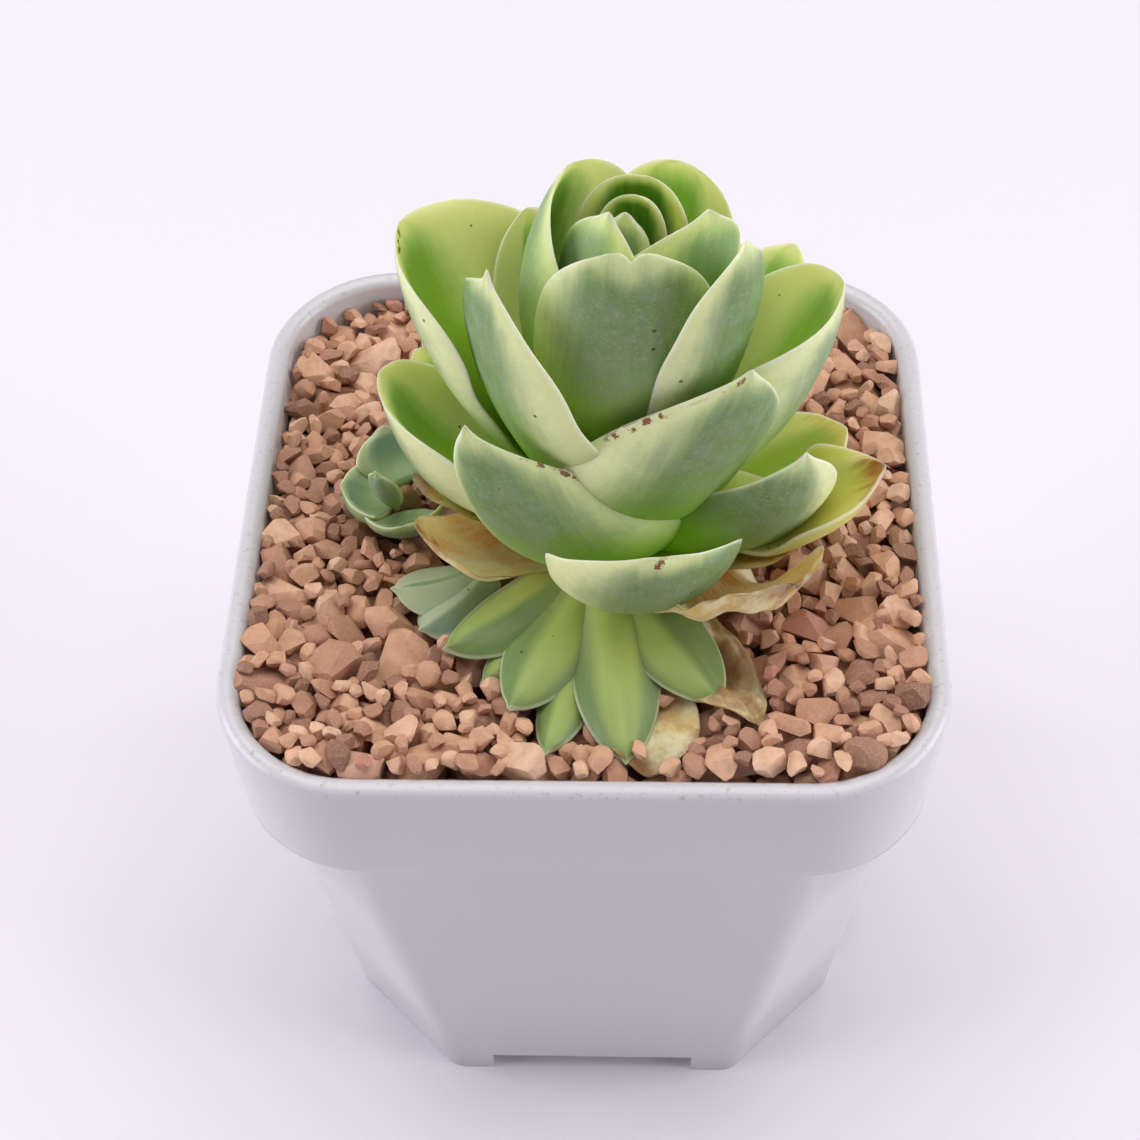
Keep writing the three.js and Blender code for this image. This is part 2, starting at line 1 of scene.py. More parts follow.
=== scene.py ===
"""A potted succulent: a fleshy variegated rosette with three small offsets, in a square nursery pot that is
topped with baked-clay granules. Metres, +Z up, origin on the floor under the pot, -Y to the plant's front."""
import bmesh
import bpy
import math
import random
import numpy as np
from mathutils import Matrix, Vector, noise
from mathutils.bvhtree import BVHTree


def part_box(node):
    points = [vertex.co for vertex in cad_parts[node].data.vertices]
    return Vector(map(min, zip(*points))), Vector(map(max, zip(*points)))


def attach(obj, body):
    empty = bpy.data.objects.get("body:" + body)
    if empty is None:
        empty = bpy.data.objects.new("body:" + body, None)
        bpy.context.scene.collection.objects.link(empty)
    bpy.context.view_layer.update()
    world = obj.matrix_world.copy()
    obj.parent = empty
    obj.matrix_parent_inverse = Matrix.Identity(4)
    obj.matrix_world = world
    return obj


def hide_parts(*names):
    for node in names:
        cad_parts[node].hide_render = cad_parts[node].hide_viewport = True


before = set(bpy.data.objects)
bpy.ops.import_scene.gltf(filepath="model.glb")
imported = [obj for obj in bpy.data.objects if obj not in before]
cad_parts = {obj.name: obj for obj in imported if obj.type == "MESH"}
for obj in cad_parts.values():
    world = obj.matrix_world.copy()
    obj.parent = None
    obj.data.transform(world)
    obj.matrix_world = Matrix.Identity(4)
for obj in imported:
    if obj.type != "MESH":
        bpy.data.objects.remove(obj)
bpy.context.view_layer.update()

MM = 0.001

# --- Sizes, in millimetres, as the pot and the plant have them ----------------------------------------------
POT_BOX = [[c / MM for c in corner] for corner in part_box("pot")]
POT_HEIGHT = POT_BOX[1][2]
RIM_WIDTH = POT_BOX[1][0] - POT_BOX[0][0]
RIM_CORNER = 13.5  # corner radius of the rim band
RIM_WALL = 2.2
RIM_BAND = 15.5
BAND_TAPER = 0.7
SHOULDER = 2.4
LIP_ROUNDING = 1.0
BASE_WIDTH = 56
BASE_CHAMFER = 12  # how far the flat corner face reaches along each side, at the base and at the top
TOP_CHAMFER = 8
BASE_EDGE = 3  # rounding of the corner face's two edges
TOP_EDGE = 7
ROUND_REACH = 0.592  # a corner face with this share of its edge rounding is a plain round corner
BODY_WALL = 1.4
FOOT_HEIGHT = 3.5
FOOT_WALL = 2
FOOT_NOTCH_WIDTH = 23
FLOOR_THICKNESS = 1.6
DRAIN_HOLE = 5
DRAIN_SPACING = 13
CORNER_STEPS = 7

GRAVEL_TOP = 66.4  # level of the granules at the middle of the pot
GRAVEL_RISE = 0.045  # slope, up towards the front
GRAVEL_LAYER = 9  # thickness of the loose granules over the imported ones

STEM_TIP_RADIUS = 0.6
CLEARANCE = 0.3
TIP_FALL = 2.3  # how late a leaf's outline falls away to its tip
LENS_POWER = 1.25  # how thin a leaf gets towards its margins
HANG_POWER = 1.6  # how late an arched leaf begins to hang

LEAF_THICKNESS = 2.4
BUD_THICKNESS = 1.8
OFFSET_THICKNESS = 1.6
WITHERED_THICKNESS = 0.6

GRANULE_KINDS = 12
MOST_GRANULES = 2600
GRANULE_RADIUS = 1.5  # the usual one, with the spread of its logarithm and the limits
GRANULE_SPREAD = 0.34
SMALLEST_GRANULE = 0.75
LARGEST_GRANULE = 3.0
# limits of a granule's length, width and height over its radius
GRANULE_STRETCH = [(1.1, 1.6), (0.95, 1.2), (0.7, 1.0)]
NESTING = 0.86  # how close two granules' centres come, as a share of their radii
HOLLOWS = [(-20, 22, 1.2, 220), (3, -24, 1.6, 60)]  # x, y, depth and squared spread of dips in the surface

# Sizes of the patterns on the skins, in millimetres
PATCH_SIZE = 6
STREAK_SIZE = 0.8
POWDER_SIZE = 2.2
GRAIN_SIZE = 0.28
SPECK_SPACING = 2.4
BRUISE_SIZE = 0.9
DRY_PATCH_SIZE = 3.5
WRINKLE_SIZE = 0.7
DUST_SIZE = 0.7
PEEL_SIZE = 1.6
MOTTLE_SIZE = 1.1
GRIT_SIZE = 0.22
CRUMB_SIZE = 1.2
RING_SIZE = 1.1


# --- Plants ----------------------------------------------------------------------------------------------
# Each leaf has its azimuth round the stem, the height of its root, the reach and rise of its tip, and its
# greatest half-width. bulge bows the midrib out, cup is the radius of the section, widest the share of the
# length where the leaf is widest, blunt how full the tip is, and base the root's share of the width. roll
# turns the section, lean moves the tip sideways and curl moves it inwards, arch lets the margins hang, and
# sides and fold make the two halves unequal. wave, point and notch make the blade uneven. outer and inner are
# the shift and half-width of the green band on each face, pale_tip is where the pale tip begins, dry how far
# the leaf has died, and scars where its bruises are.
def leaf(name, azimuth, root, reach, rise, half, **shape):
    """One leaf's sizes, over what every leaf has unless it says otherwise."""
    usual = dict(bulge=6, cup=9, widest=0.6, blunt=2, roll=0, lean=0, base=0.4, sides=(1, 1), wave=0.4,
                 point=0.6, notch=0, curl=0, arch=0, fold=(0, 0), outer=(0, 0.75), inner=(0, 0.65),
                 pale_tip=0.8, dry=0, scars=())
    return {**usual, "name": name, "azimuth": azimuth, "root": root, "reach": reach, "rise": rise,
            "half": half, **shape}


ROSETTE = dict(place=(2.5, -5, POT_HEIGHT), tilt=(-8, 3), stem_radius=3.2, stem_length=21)
FRONT_OFFSET = dict(place=(2, -9, POT_HEIGHT + 2), tilt=(0, 0), stem_radius=1.3, stem_length=4)
LEFT_OFFSET = dict(place=(-18, 0.8, POT_HEIGHT - 1), tilt=(0, -8), stem_radius=1.3, stem_length=3)
LOW_OFFSET = dict(place=(-8, -8, POT_HEIGHT - 1), tilt=(0, 0), stem_radius=1.3, stem_length=2.5)

OUTER_LEAVES = [
    leaf("leaf_front_low", 283, 3, 19, 15, 11, bulge=9, cup=11, widest=0.65, base=0.7, outer=(0.3, 1.0),
         scars=((0.95, -0.1),)),
    leaf("leaf_left_low", 245, 3, 15, 22, 12.5, bulge=9, cup=13, widest=0.5, blunt=1.3, roll=8, lean=-8.5,
         base=0.7, sides=(0.4, 1.1), outer=(-0.1, 0.85), scars=((0.85, 0.9), (0.7, 1.0))),
    leaf("leaf_right_low", 329, 3, 19.5, 20.5, 8.5, bulge=9, widest=0.5, blunt=1.3, roll=-35, base=0.7,
         outer=(-0.35, 0.85)),
    leaf("leaf_left_mid", 181, 5.5, 22.5, 20, 9, bulge=9, fold=(0.35, 0), inner=(0.25, 0.75)),
    leaf("leaf_right_fallen", 350, 4, 25, 15, 7, blunt=1.5, wave=2.2, dry=1),
    leaf("leaf_back_low_left", 150, 3, 23, 14, 8),
    leaf("leaf_back_low", 92, 3, 23, 15, 8.5),
    leaf("leaf_back_low_right", 14, 3, 23, 11, 7.5, dry=0.4),
    leaf("leaf_front_right", 293, 6, 14, 30, 12, bulge=7, cup=12, widest=0.45, blunt=1.3, lean=6, base=0.6,
         sides=(1, 0.75), outer=(0.25, 0.95), scars=((0.8, -1.0), (0.92, -0.5))),
    leaf("leaf_back_mid_left", 112, 6, 20, 25, 8.5),
    leaf("leaf_back_mid_right", 58, 6, 20, 25, 8.5),
    leaf("leaf_back_right", 36, 6.5, 20, 28, 6.5, cup=10),
    leaf("leaf_left_tall", 165, 8, 21.5, 33, 12, cup=10, widest=0.7, base=0.15, sides=(1.2, 1),
         inner=(0.35, 0.7), scars=((0.97, 0.5),)),
    leaf("leaf_left_front_tall", 216, 8.5, 14.5, 37, 11.5, cup=14, widest=0.45, lean=-0.8, base=0.5,
         blunt=1, sides=(1.2, 0.8), point=1.2, outer=(-0.35, 1.0)),
    leaf("leaf_right_tall", 0, 7.5, 19.5, 32, 10.5, bulge=7, widest=0.7, fold=(0, 0.4), inner=(-0.15, 0.75)),
    leaf("leaf_back_left", 130, 9, 14.5, 31.5, 6.5, cup=10, inner=(0, 0.3)),
    leaf("leaf_front_tall", 270, 12, 9, 41, 9.5, cup=10, widest=0.65, notch=1.5, outer=(0.1, 0.95)),
    leaf("leaf_right_front_tall", 318, 11, 12.8, 42, 7.5, bulge=5, blunt=1.3, base=0.7, sides=(0.85, 1),
         outer=(0.25, 1.0)),
    leaf("leaf_back", 66, 11, 12, 37.5, 8, cup=10, widest=0.65, blunt=2.6, point=0.2, inner=(0.1, 0.6)),
]
BUD_LEAVES = [
    leaf("bud_leaf_left", 155, 14, 6.5, 41.5, 13.5, bulge=9, cup=8.5, blunt=2.5, point=0.2, pale_tip=0.9,
         inner=(0.4, 0.9)),
    leaf("bud_leaf_right", 350, 13.5, 8, 39, 6, bulge=5, cup=8, pale_tip=0.9, inner=(0, 0.4)),
    leaf("bud_leaf_front_left", 222, 16, 5, 42, 7, bulge=5, cup=7, blunt=1.35, lean=2.5, outer=(-0.2, 0.8)),
    leaf("bud_leaf_front_right", 300, 16, 7, 42, 8, bulge=5, cup=8, blunt=1.5, lean=3.5, sides=(1.25, 1),
         outer=(0.3, 0.8)),
    leaf("bud_leaf_back", 80, 18, 3.5, 41, 7, bulge=4, cup=6, blunt=2.6, point=0, pale_tip=0.9,
         inner=(0, 0.75)),
    leaf("heart_leaf_front", 250, 20, 1.5, 39.5, 3.5, bulge=2, cup=3.5),
    leaf("heart_leaf_back", 80, 20, 1.5, 40, 4.5, bulge=2.5, cup=4, blunt=2.6, point=0, pale_tip=0.9,
         inner=(0, 0.9)),
]
FRONT_OFFSET_LEAVES = [
    leaf("front_offset_leaf_middle", 276, 3, 21.5, -1.5, 4.5, bulge=3, widest=0.5, blunt=1.35, base=0.65,
         arch=2.2, curl=-1.2),
    leaf("front_offset_leaf_front_left", 242, 3, 18, 0, 4.5, bulge=4, widest=0.5, blunt=1.35, base=0.65,
         arch=2.2, curl=-1.5, inner=(0.25, 0.6)),
    leaf("front_offset_leaf_left", 213, 3, 17.5, 0, 4, bulge=4, widest=0.5, blunt=1.3, base=0.65, arch=2.2,
         curl=-1.2, inner=(-0.4, 0.5)),
    leaf("front_offset_leaf_right", 306, 3, 18.5, -0.5, 4.5, bulge=3, widest=0.5, blunt=1.3, base=0.65,
         arch=2.2, curl=-1.5, inner=(-0.45, 0.5)),
    leaf("front_offset_leaf_low", 256, 1, 21.5, -2.5, 3, bulge=3, widest=0.5, blunt=1.3, base=0.6, arch=1.4,
         inner=(0.2, 0.6)),
    leaf("front_offset_leaf_under_left", 228, 1, 17, -2.5, 2.6, bulge=2.5, blunt=1.3, base=0.6, arch=1.2),
]
LEFT_OFFSET_LEAVES = [
    leaf("left_offset_leaf_left", 190, 1, 6, 4.5, 5, bulge=2.2, cup=4.5),
    leaf("left_offset_leaf_front", 275, 1, 6.5, 4, 5, bulge=2.2, cup=4.5),
    leaf("left_offset_leaf_back", 110, 1.5, 6, 5.5, 4.6, bulge=2, cup=4.5),
    leaf("left_offset_leaf_right", 25, 1.5, 5, 6, 2.6, bulge=1.5, cup=4),
    leaf("left_offset_leaf_heart", 240, 2.5, 3, 8, 1.8, bulge=1, cup=3),
]
LOW_OFFSET_LEAVES = [
    leaf("low_offset_leaf_left", 195, 1.5, 11, 1, 3.2, bulge=2, arch=1.6, blunt=1.3, base=0.5,
         inner=(0, 0.1)),
    leaf("low_offset_leaf_front", 222, 1.5, 10.5, 0, 3.2, bulge=2, arch=1.6, blunt=1.3, base=0.5,
         inner=(0.4, 0.4)),
]
WITHERED_LEAVES = [
    leaf("withered_leaf_left", 203, 1.5, 21, 5.5, 6, bulge=4, roll=10, curl=2, base=0.6, wave=0.8),
    leaf("withered_leaf_left_stub", 184, 2, 19, 9, 3, bulge=3, base=0.6, wave=0.8),
    leaf("withered_leaf_right", 313, 1.5, 24, 5.5, 9, bulge=2.5, cup=14, roll=-18, curl=4.5, base=0.6,
         wave=2.6),
    leaf("withered_leaf_right_upper", 342, 1.5, 20, 8, 4.5, bulge=4, base=0.6, wave=0.8),
    leaf("withered_leaf_hanging", 303, 1, 25.5, -2.5, 4, bulge=3, base=0.6, wave=2.6, dry=0.8),
    leaf("withered_leaf_front", 281, 0.5, 26, -4.5, 5, bulge=3.5, base=0.5, widest=0.75, blunt=2.5,
         wave=1.2),
]


# --- Camera, light and floor -----------------------------------------------------------------------------
CAMERA_PLACE = (6.4, -145.3, 235.3)
CAMERA_DOWN = 50.65  # degrees below level
CAMERA_TURN = 3.3
CAMERA_ROLL = -2.2
CAMERA_LENS = 69.2


def linear(hex_colour):
    """An sRGB hex colour as the linear values that shaders take."""
    parts = [int(hex_colour[i:i + 2], 16) / 255 for i in (1, 3, 5)]
    return tuple(c / 12.92 if c <= 0.04045 else ((c + 0.055) / 1.055) ** 2.4 for c in parts) + (1.0,)


def make_camera():
    turn = (Matrix.Rotation(math.radians(CAMERA_TURN), 4, "Z")
            @ Matrix.Rotation(math.radians(90 - CAMERA_DOWN), 4, "X")
            @ Matrix.Rotation(math.radians(CAMERA_ROLL), 4, "Z"))
    data = bpy.data.cameras.new("camera")
    data.lens = CAMERA_LENS
    data.sensor_width = 36
    data.clip_start = 0.01
    camera = bpy.data.objects.new("camera", data)
    camera.matrix_world = Matrix.Translation(Vector(CAMERA_PLACE) * MM) @ turn
    bpy.context.scene.collection.objects.link(camera)
    bpy.context.scene.camera = camera


def softbox(name, place, size, power, colour, target=(0, 0, 0.07)):
    """A square soft light that faces the plant."""
    data = bpy.data.lights.new(name, "AREA")
    data.shape = "SQUARE"
    data.size = size
    data.energy = power
    data.color = linear(colour)[:3]
    light = bpy.data.objects.new(name, data)
    light.location = place
    light.rotation_euler = (Vector(target) - Vector(place)).to_track_quat("-Z", "Y").to_euler()
    bpy.context.scene.collection.objects.link(light)


def make_light():
    world = bpy.data.worlds.new("studio")
    world.use_nodes = True
    background = world.node_tree.nodes["Background"]
    background.inputs["Color"].default_value = linear("#f6f4fb")
    background.inputs["Strength"].default_value = 0.22
    bpy.context.scene.world = world
    bpy.context.scene.view_settings.view_transform = "Standard"
    softbox("softbox_top", (0.0, 0.3, 1.6), 1.7, 22, "#fffdfa")
    softbox("softbox_left", (-1.1, -0.1, 0.35), 0.8, 9, "#f6f6ff")
    softbox("softbox_right", (1.1, -0.1, 0.35), 0.8, 9, "#f8f8ff")


# --- Materials -------------------------------------------------------------------------------------------
# For each word that add() takes: the node, its inputs in the order that their values are given, the output
# that comes back, and its usual settings.
NODE_KINDS = {
    "attribute": ("ShaderNodeAttribute", (), "Fac", {}),
    "object": ("ShaderNodeTexCoord", (), "Object", {}),
    "stretch": ("ShaderNodeMapping", ("Vector", "Scale"), "Vector", {}),
    "height": ("ShaderNodeSeparateXYZ", ("Vector",), "Z", {}),
    "red": ("ShaderNodeSeparateColor", ("Color",), 0, {}),
    "noise": ("ShaderNodeTexNoise", ("Vector", "Scale", "Detail", "Roughness", "Distortion"), "Fac", {}),
    "cells": ("ShaderNodeTexVoronoi", ("Vector", "Scale", "Randomness"), "Distance", {}),
    "ramp": ("ShaderNodeMapRange", ("Value", "From Min", "From Max"), "Result",
             {"interpolation_type": "SMOOTHSTEP"}),
    "tones": ("ShaderNodeValToRGB", ("Fac",), "Color", {}),
    "blend": ("ShaderNodeMix", (0, 6, 7), 2, {"data_type": "RGBA"}),
    "plus": ("ShaderNodeMath", (0, 1), "Value", {"operation": "ADD"}),
    "minus": ("ShaderNodeMath", (0, 1), "Value", {"operation": "SUBTRACT"}),
    "times": ("ShaderNodeMath", (0, 1), "Value", {"operation": "MULTIPLY"}),
    "larger": ("ShaderNodeMath", (0, 1), "Value", {"operation": "MAXIMUM"}),
    "bump": ("ShaderNodeBump", ("Height", "Strength", "Distance"), "Normal", {}),
}


def add(tree, word, *values, output=None, **settings):
    """Adds a node with its settings; each input is given a value or the socket that feeds it."""
    kind, inputs, usual_output, usual_settings = NODE_KINDS[word]
    made = tree.nodes.new(kind)
    for name, setting in {**usual_settings, **settings}.items():
        setattr(made, name, setting)
    for socket, value in zip(inputs, values):
        if isinstance(value, bpy.types.NodeSocket):
            tree.links.new(value, made.inputs[socket])
        else:
            made.inputs[socket].default_value = value
    return made.outputs[usual_output if output is None else output]


def blank(name, **values):
    """A material with only its output and a Principled shader, whose inputs are given here by name with _ for
    each space."""
    material = bpy.data.materials.new(name)
    material.use_nodes = True
    tree = material.node_tree
    tree.nodes.clear()
    output = tree.nodes.new("ShaderNodeOutputMaterial")
    shader = tree.nodes.new("ShaderNodeBsdfPrincipled")
    tree.links.new(shader.outputs["BSDF"], output.inputs["Surface"])
    for word, value in values.items():
        shader.inputs[word.replace("_", " ")].default_value = value
    return material, tree, shader


def living_leaf(name, palette):
    """Living leaf skin: waxy and slightly translucent, with a powdery bloom on the outer face. The pale
    margins are tissue without green in it, so they glow a little where light comes through."""
    material, tree, shader = blank(
        name, IOR=1.45, Subsurface_Weight=0.45, Subsurface_Radius=(1.0, 1.0, 0.45), Subsurface_Scale=2.2 * MM)
    shades = {word: linear(colour) for word, colour in palette.items() if isinstance(colour, str)}
    along, band, edge, inner, scar, dry = (
        add(tree, "attribute", attribute_name=word)
        for word in ("along", "band", "edge", "inner", "scar", "dry"))
    skin = add(tree, "attribute", output="Vector", attribute_name="skin")
    streaky = add(tree, "stretch", skin, (1, 0.12, 1))

    # the green and the pale margin meet along a ragged, drifting line
    patches = add(tree, "noise", skin, 1 / PATCH_SIZE, 2, 0.6)
    streaks = add(tree, "noise", streaky, 1 / STREAK_SIZE, 3, 0.6)
    ragged = add(tree, "times", add(tree, "minus", streaks, 0.5), 0.22)
    drift = add(tree, "times", add(tree, "minus", patches, 0.5), 0.25)
    boundary = add(tree, "plus", add(tree, "plus", band, ragged), drift)
    side = add(tree, "ramp", inner, -0.15, 0.15)
    on_outer = add(tree, "minus", 1.0, side)
    off_root = add(tree, "plus", 0.3, add(tree, "times", add(tree, "ramp", along, 0.1, 0.6), 0.7))
    pale = add(tree, "times", add(tree, "ramp", boundary, 0.5, 1.15), off_root)

    greener = add(tree, "ramp", along, 0.15, 0.75)
    outer = add(tree, "blend", greener, shades["outer_low"], shades["outer_high"])
    outer = add(tree, "blend", pale, outer, shades["outer_margin"])
    paler = add(tree, "ramp", along, 0.2, 0.95)
    cup = add(tree, "blend", paler, shades["inner_low"], shades["inner_high"])
    cup = add(tree, "blend", pale, cup, shades["inner_margin"])
    colour = add(tree, "blend", side, outer, cup)
    veins = add(tree, "times", add(tree, "ramp", streaks, 0.35, 0.75), 0.1)
    colour = add(tree, "blend", veins, colour, shades["streak"])

    # bloom: wax powder in soft patches, rubbed off here and there, with fine grains in it
    powder = add(tree, "noise", skin, 1 / POWDER_SIZE, 6, 0.7)
    bloom = add(tree, "times", add(tree, "ramp", powder, 0.38, 0.66), on_outer)
    bloom = add(tree, "times", bloom, palette["bloom"])
    bloom = add(tree, "times", bloom, add(tree, "ramp", along, 0.2, 0.7))
    bloom = add(tree, "times", bloom, add(tree, "minus", 1.0, add(tree, "times", pale, 0.8)))
    colour = add(tree, "blend", bloom, colour, shades["powder"])
    speckle = add(tree, "noise", skin, 1 / GRAIN_SIZE, 2, 0.5)
    grains = add(tree, "times", add(tree, "ramp", speckle, 0.55, 0.75), 0.22)
    colour = add(tree, "blend", add(tree, "times", grains, on_outer), colour, shades["grain"])

    # a dying leaf turns yellow first and brown at its tip
    reach = add(tree, "plus", along, ragged)
    yellowed = add(tree, "times", add(tree, "times", dry, add(tree, "ramp", reach, 0.1, 0.7)), 0.8)
    colour = add(tree, "blend", yellowed, colour, linear("#d9cf6a"))
    browned = add(tree, "times", dry, add(tree, "ramp", reach, 0.86, 1.0))
    colour = add(tree, "blend", browned, colour, linear("#a8672c"))

    # a painted highlight: a bright, thin line along the very edge, where the rounded margin catches the light
    rim = add(tree, "minus", 1.0, add(tree, "ramp", edge, 0.05, palette["painted_highlight_width"]))
    colour = add(tree, "blend", add(tree, "times", rim, palette["painted_highlight_share"]), colour, shades["rim"])

    # dark specks of soil and cork, a few to each leaf
    distance = add(tree, "cells", skin, 1 / SPECK_SPACING, 1.0)
    chosen = add(tree, "ramp", add(tree, "red", distance.node.outputs["Color"]), 0.86, 0.87)
    dot = add(tree, "minus", 1.0, add(tree, "ramp", distance, 0.05, 0.1))
    specks = add(tree, "times", add(tree, "times", chosen, dot), 0.85)
    colour = add(tree, "blend", specks, colour, linear("#3d3420"))

    # corky brown spots where a margin was bruised
    bruise = add(tree, "ramp", add(tree, "noise", skin, 1 / BRUISE_SIZE, 3, 0.7), 0.46, 0.56)
    at_side = add(tree, "minus", 1.0, add(tree, "ramp", edge, 0.5, 1.7))
    on_margin = add(tree, "larger", at_side, add(tree, "ramp", along, 0.96, 0.98))
    bruise = add(tree, "times", add(tree, "times", bruise, scar), on_margin)
    colour = add(tree, "blend", add(tree, "ramp", bruise, 0.25, 0.6), colour, linear("#8c5a3c"))

    roughness = add(tree, "plus", add(tree, "times", bloom, 0.35), palette["roughness"])
    relief = add(tree, "plus", add(tree, "times", streaks, 0.6), speckle)
    tree.links.new(colour, shader.inputs["Base Color"])
    tree.links.new(roughness, shader.inputs["Roughness"])
    tree.links.new(add(tree, "bump", relief, 0.25, 0.12 * MM), shader.inputs["Normal"])
    return material


def dry_leaf(name):
    """Dried leaf skin: papery, tan in the middle and browned at the edges, wrinkled lengthwise."""
    material, tree, shader = blank(
        name, Roughness=0.62, IOR=1.45, Subsurface_Weight=0.5, Subsurface_Radius=(1.0, 0.75, 0.4),
        Subsurface_Scale=1.0 * MM)
    along, edge, dry = (add(tree, "attribute", attribute_name=word) for word in ("along", "edge", "dry"))
    skin = add(tree, "attribute", output="Vector", attribute_name="skin")
    streaky = add(tree, "stretch", skin, (1, 0.2, 1))
    patches = add(tree, "noise", skin, 1 / DRY_PATCH_SIZE, 4, 0.6)
    wrinkles = add(tree, "noise", streaky, 1 / WRINKLE_SIZE, 4, 0.6, 0.6)
    colour = add(tree, "blend", add(tree, "ramp", patches, 0.35, 0.65), linear("#ffedb8"), linear("#f5c478"))
    # the wrinkle crests are painted paler: a painted highlight where the ridges catch the light
    painted_crest_highlight = add(tree, "times", add(tree, "ramp", wrinkles, 0.4, 0.7), 0.5)
    colour = add(tree, "blend", painted_crest_highlight, colour, linear("#fff4d4"))
    from_edge = add(tree, "plus", edge, add(tree, "times", patches, 1.2))
    burnt = add(tree, "minus", 1.0, add(tree, "ramp", from_edge, 0.45, 0.95))
    from_root = add(tree, "plus", along, add(tree, "times", add(tree, "minus", patches, 0.5), 0.5))
    far = add(tree, "times", add(tree, "ramp", from_root, 0.8, 1.02), 0.9)
    overall = add(tree, "times", dry, add(tree, "ramp", patches, 0.2, 0.6))
    brown = add(tree, "larger", add(tree, "larger", burnt, far), overall)
    colour = add(tree, "blend", add(tree, "times", brown, 0.85), colour, linear("#6d3f1e"))
    tree.links.new(colour, shader.inputs["Base Color"])
    tree.links.new(add(tree, "bump", wrinkles, 0.8, 0.35 * MM), shader.inputs["Normal"])
    return material


def moulded_polypropylene():
    """White polypropylene, injection moulded: a soft gloss, a faint orange peel, and a little grey dust from
    the granules along the lip."""
    material, tree, shader = blank(
        "moulded_polypropylene", Roughness=0.25, IOR=1.49, Subsurface_Weight=0.1,
        Subsurface_Radius=(1.0, 1.0, 1.0), Subsurface_Scale=1.5 * MM)
    where = add(tree, "stretch", add(tree, "object"), (1 / MM, 1 / MM, 1 / MM))
    near_lip = add(tree, "ramp", add(tree, "height", where), POT_HEIGHT - 1.6, POT_HEIGHT - 0.2)
    dust = add(tree, "ramp", add(tree, "noise", where, 1 / DUST_SIZE, 5, 0.7), 0.55, 0.72)
    dust = add(tree, "times", add(tree, "times", dust, near_lip), 0.5)
    colour = add(tree, "blend", dust, linear("#cfcdd2"), linear("#9b8474"))
    peel = add(tree, "noise", where, 1 / PEEL_SIZE, 2, 0.6)
    tree.links.new(colour, shader.inputs["Base Color"])
    tree.links.new(add(tree, "bump", peel, 0.1, 0.03 * MM), shader.inputs["Normal"])
    return material


def baked_clay():
    """Baked-clay granules: matt and dusty, mostly tan, some rosier or greyer, with fine grit."""
    material, tree, shader = blank("baked_clay", Roughness=0.92, IOR=1.5)
    where = add(tree, "stretch", add(tree, "object"), (1 / MM, 1 / MM, 1 / MM))
    tones = add(tree, "tones", add(tree, "attribute", attribute_name="tint"))
    elements = tones.node.color_ramp.elements
    while len(elements) < len(CLAY_TONES):
        elements.new(0.5)
    for element, (place, colour) in zip(elements, CLAY_TONES):
        element.position = place
        element.color = linear(colour)
    mottled = add(tree, "noise", where, 1 / MOTTLE_SIZE, 4, 0.6)
    grit = add(tree, "noise", where, 1 / GRIT_SIZE, 3, 0.6)
    stains = add(tree, "times", add(tree, "ramp", mottled, 0.35, 0.7), 0.35)
    colour = add(tree, "blend", stains, tones, linear("#a87a60"))
    dusty = add(tree, "times", add(tree, "ramp", grit, 0.5, 0.7), 0.3)
    colour = add(tree, "blend", dusty, colour, linear("#e3c3a6"))
    relief = add(tree, "plus", grit, add(tree, "times", mottled, 1.5))
    tree.links.new(colour, shader.inputs["Base Color"])
    tree.links.new(add(tree, "bump", relief, 0.5, 0.15 * MM), shader.inputs["Normal"])
    return material


def potting_mix():
    """Damp potting mix: nearly black, rough, with paler fibres."""
    material, tree, shader = blank("potting_mix", Roughness=0.95)
    where = add(tree, "stretch", add(tree, "object"), (1 / MM, 1 / MM, 1 / MM))
    crumbs = add(tree, "noise", where, 1 / CRUMB_SIZE, 6, 0.7)
    colour = add(tree, "blend", add(tree, "ramp", crumbs, 0.4, 0.7), linear("#2a1d13"), linear("#5a4330"))
    tree.links.new(colour, shader.inputs["Base Color"])
    tree.links.new(add(tree, "bump", crumbs, 0.8, 0.6 * MM), shader.inputs["Normal"])
    return material


def stem_bark():
    """A succulent's stem: dull green going corky brown, ringed by old leaf scars."""
    material, tree, shader = blank("stem_bark", Roughness=0.7)
    where = add(tree, "stretch", add(tree, "object"), (0.3 / MM, 0.3 / MM, 1 / MM))
    rings = add(tree, "noise", where, 1 / RING_SIZE, 3, 0.6)
    colour = add(tree, "blend", add(tree, "ramp", rings, 0.35, 0.65), linear("#7d7a45"), linear("#8b6a45"))
    tree.links.new(colour, shader.inputs["Base Color"])
    tree.links.new(add(tree, "bump", rings, 0.6, 0.3 * MM), shader.inputs["Normal"])
    return material


def studio_paper():
    """The floor: a plain pale paper sweep."""
    return blank("studio_paper", Base_Color=linear("#ebe6ef"), Roughness=0.8, Specular_IOR_Level=0.2)[0]


# Granule colours from the darkest to the palest, and a few rosy ones
CLAY_TONES = [(0.0, "#8c6656"), (0.15, "#b58670"), (0.45, "#d09e80"), (0.75, "#e2b394"), (0.93, "#edc4a6"),
              (1.0, "#b87a6c")]
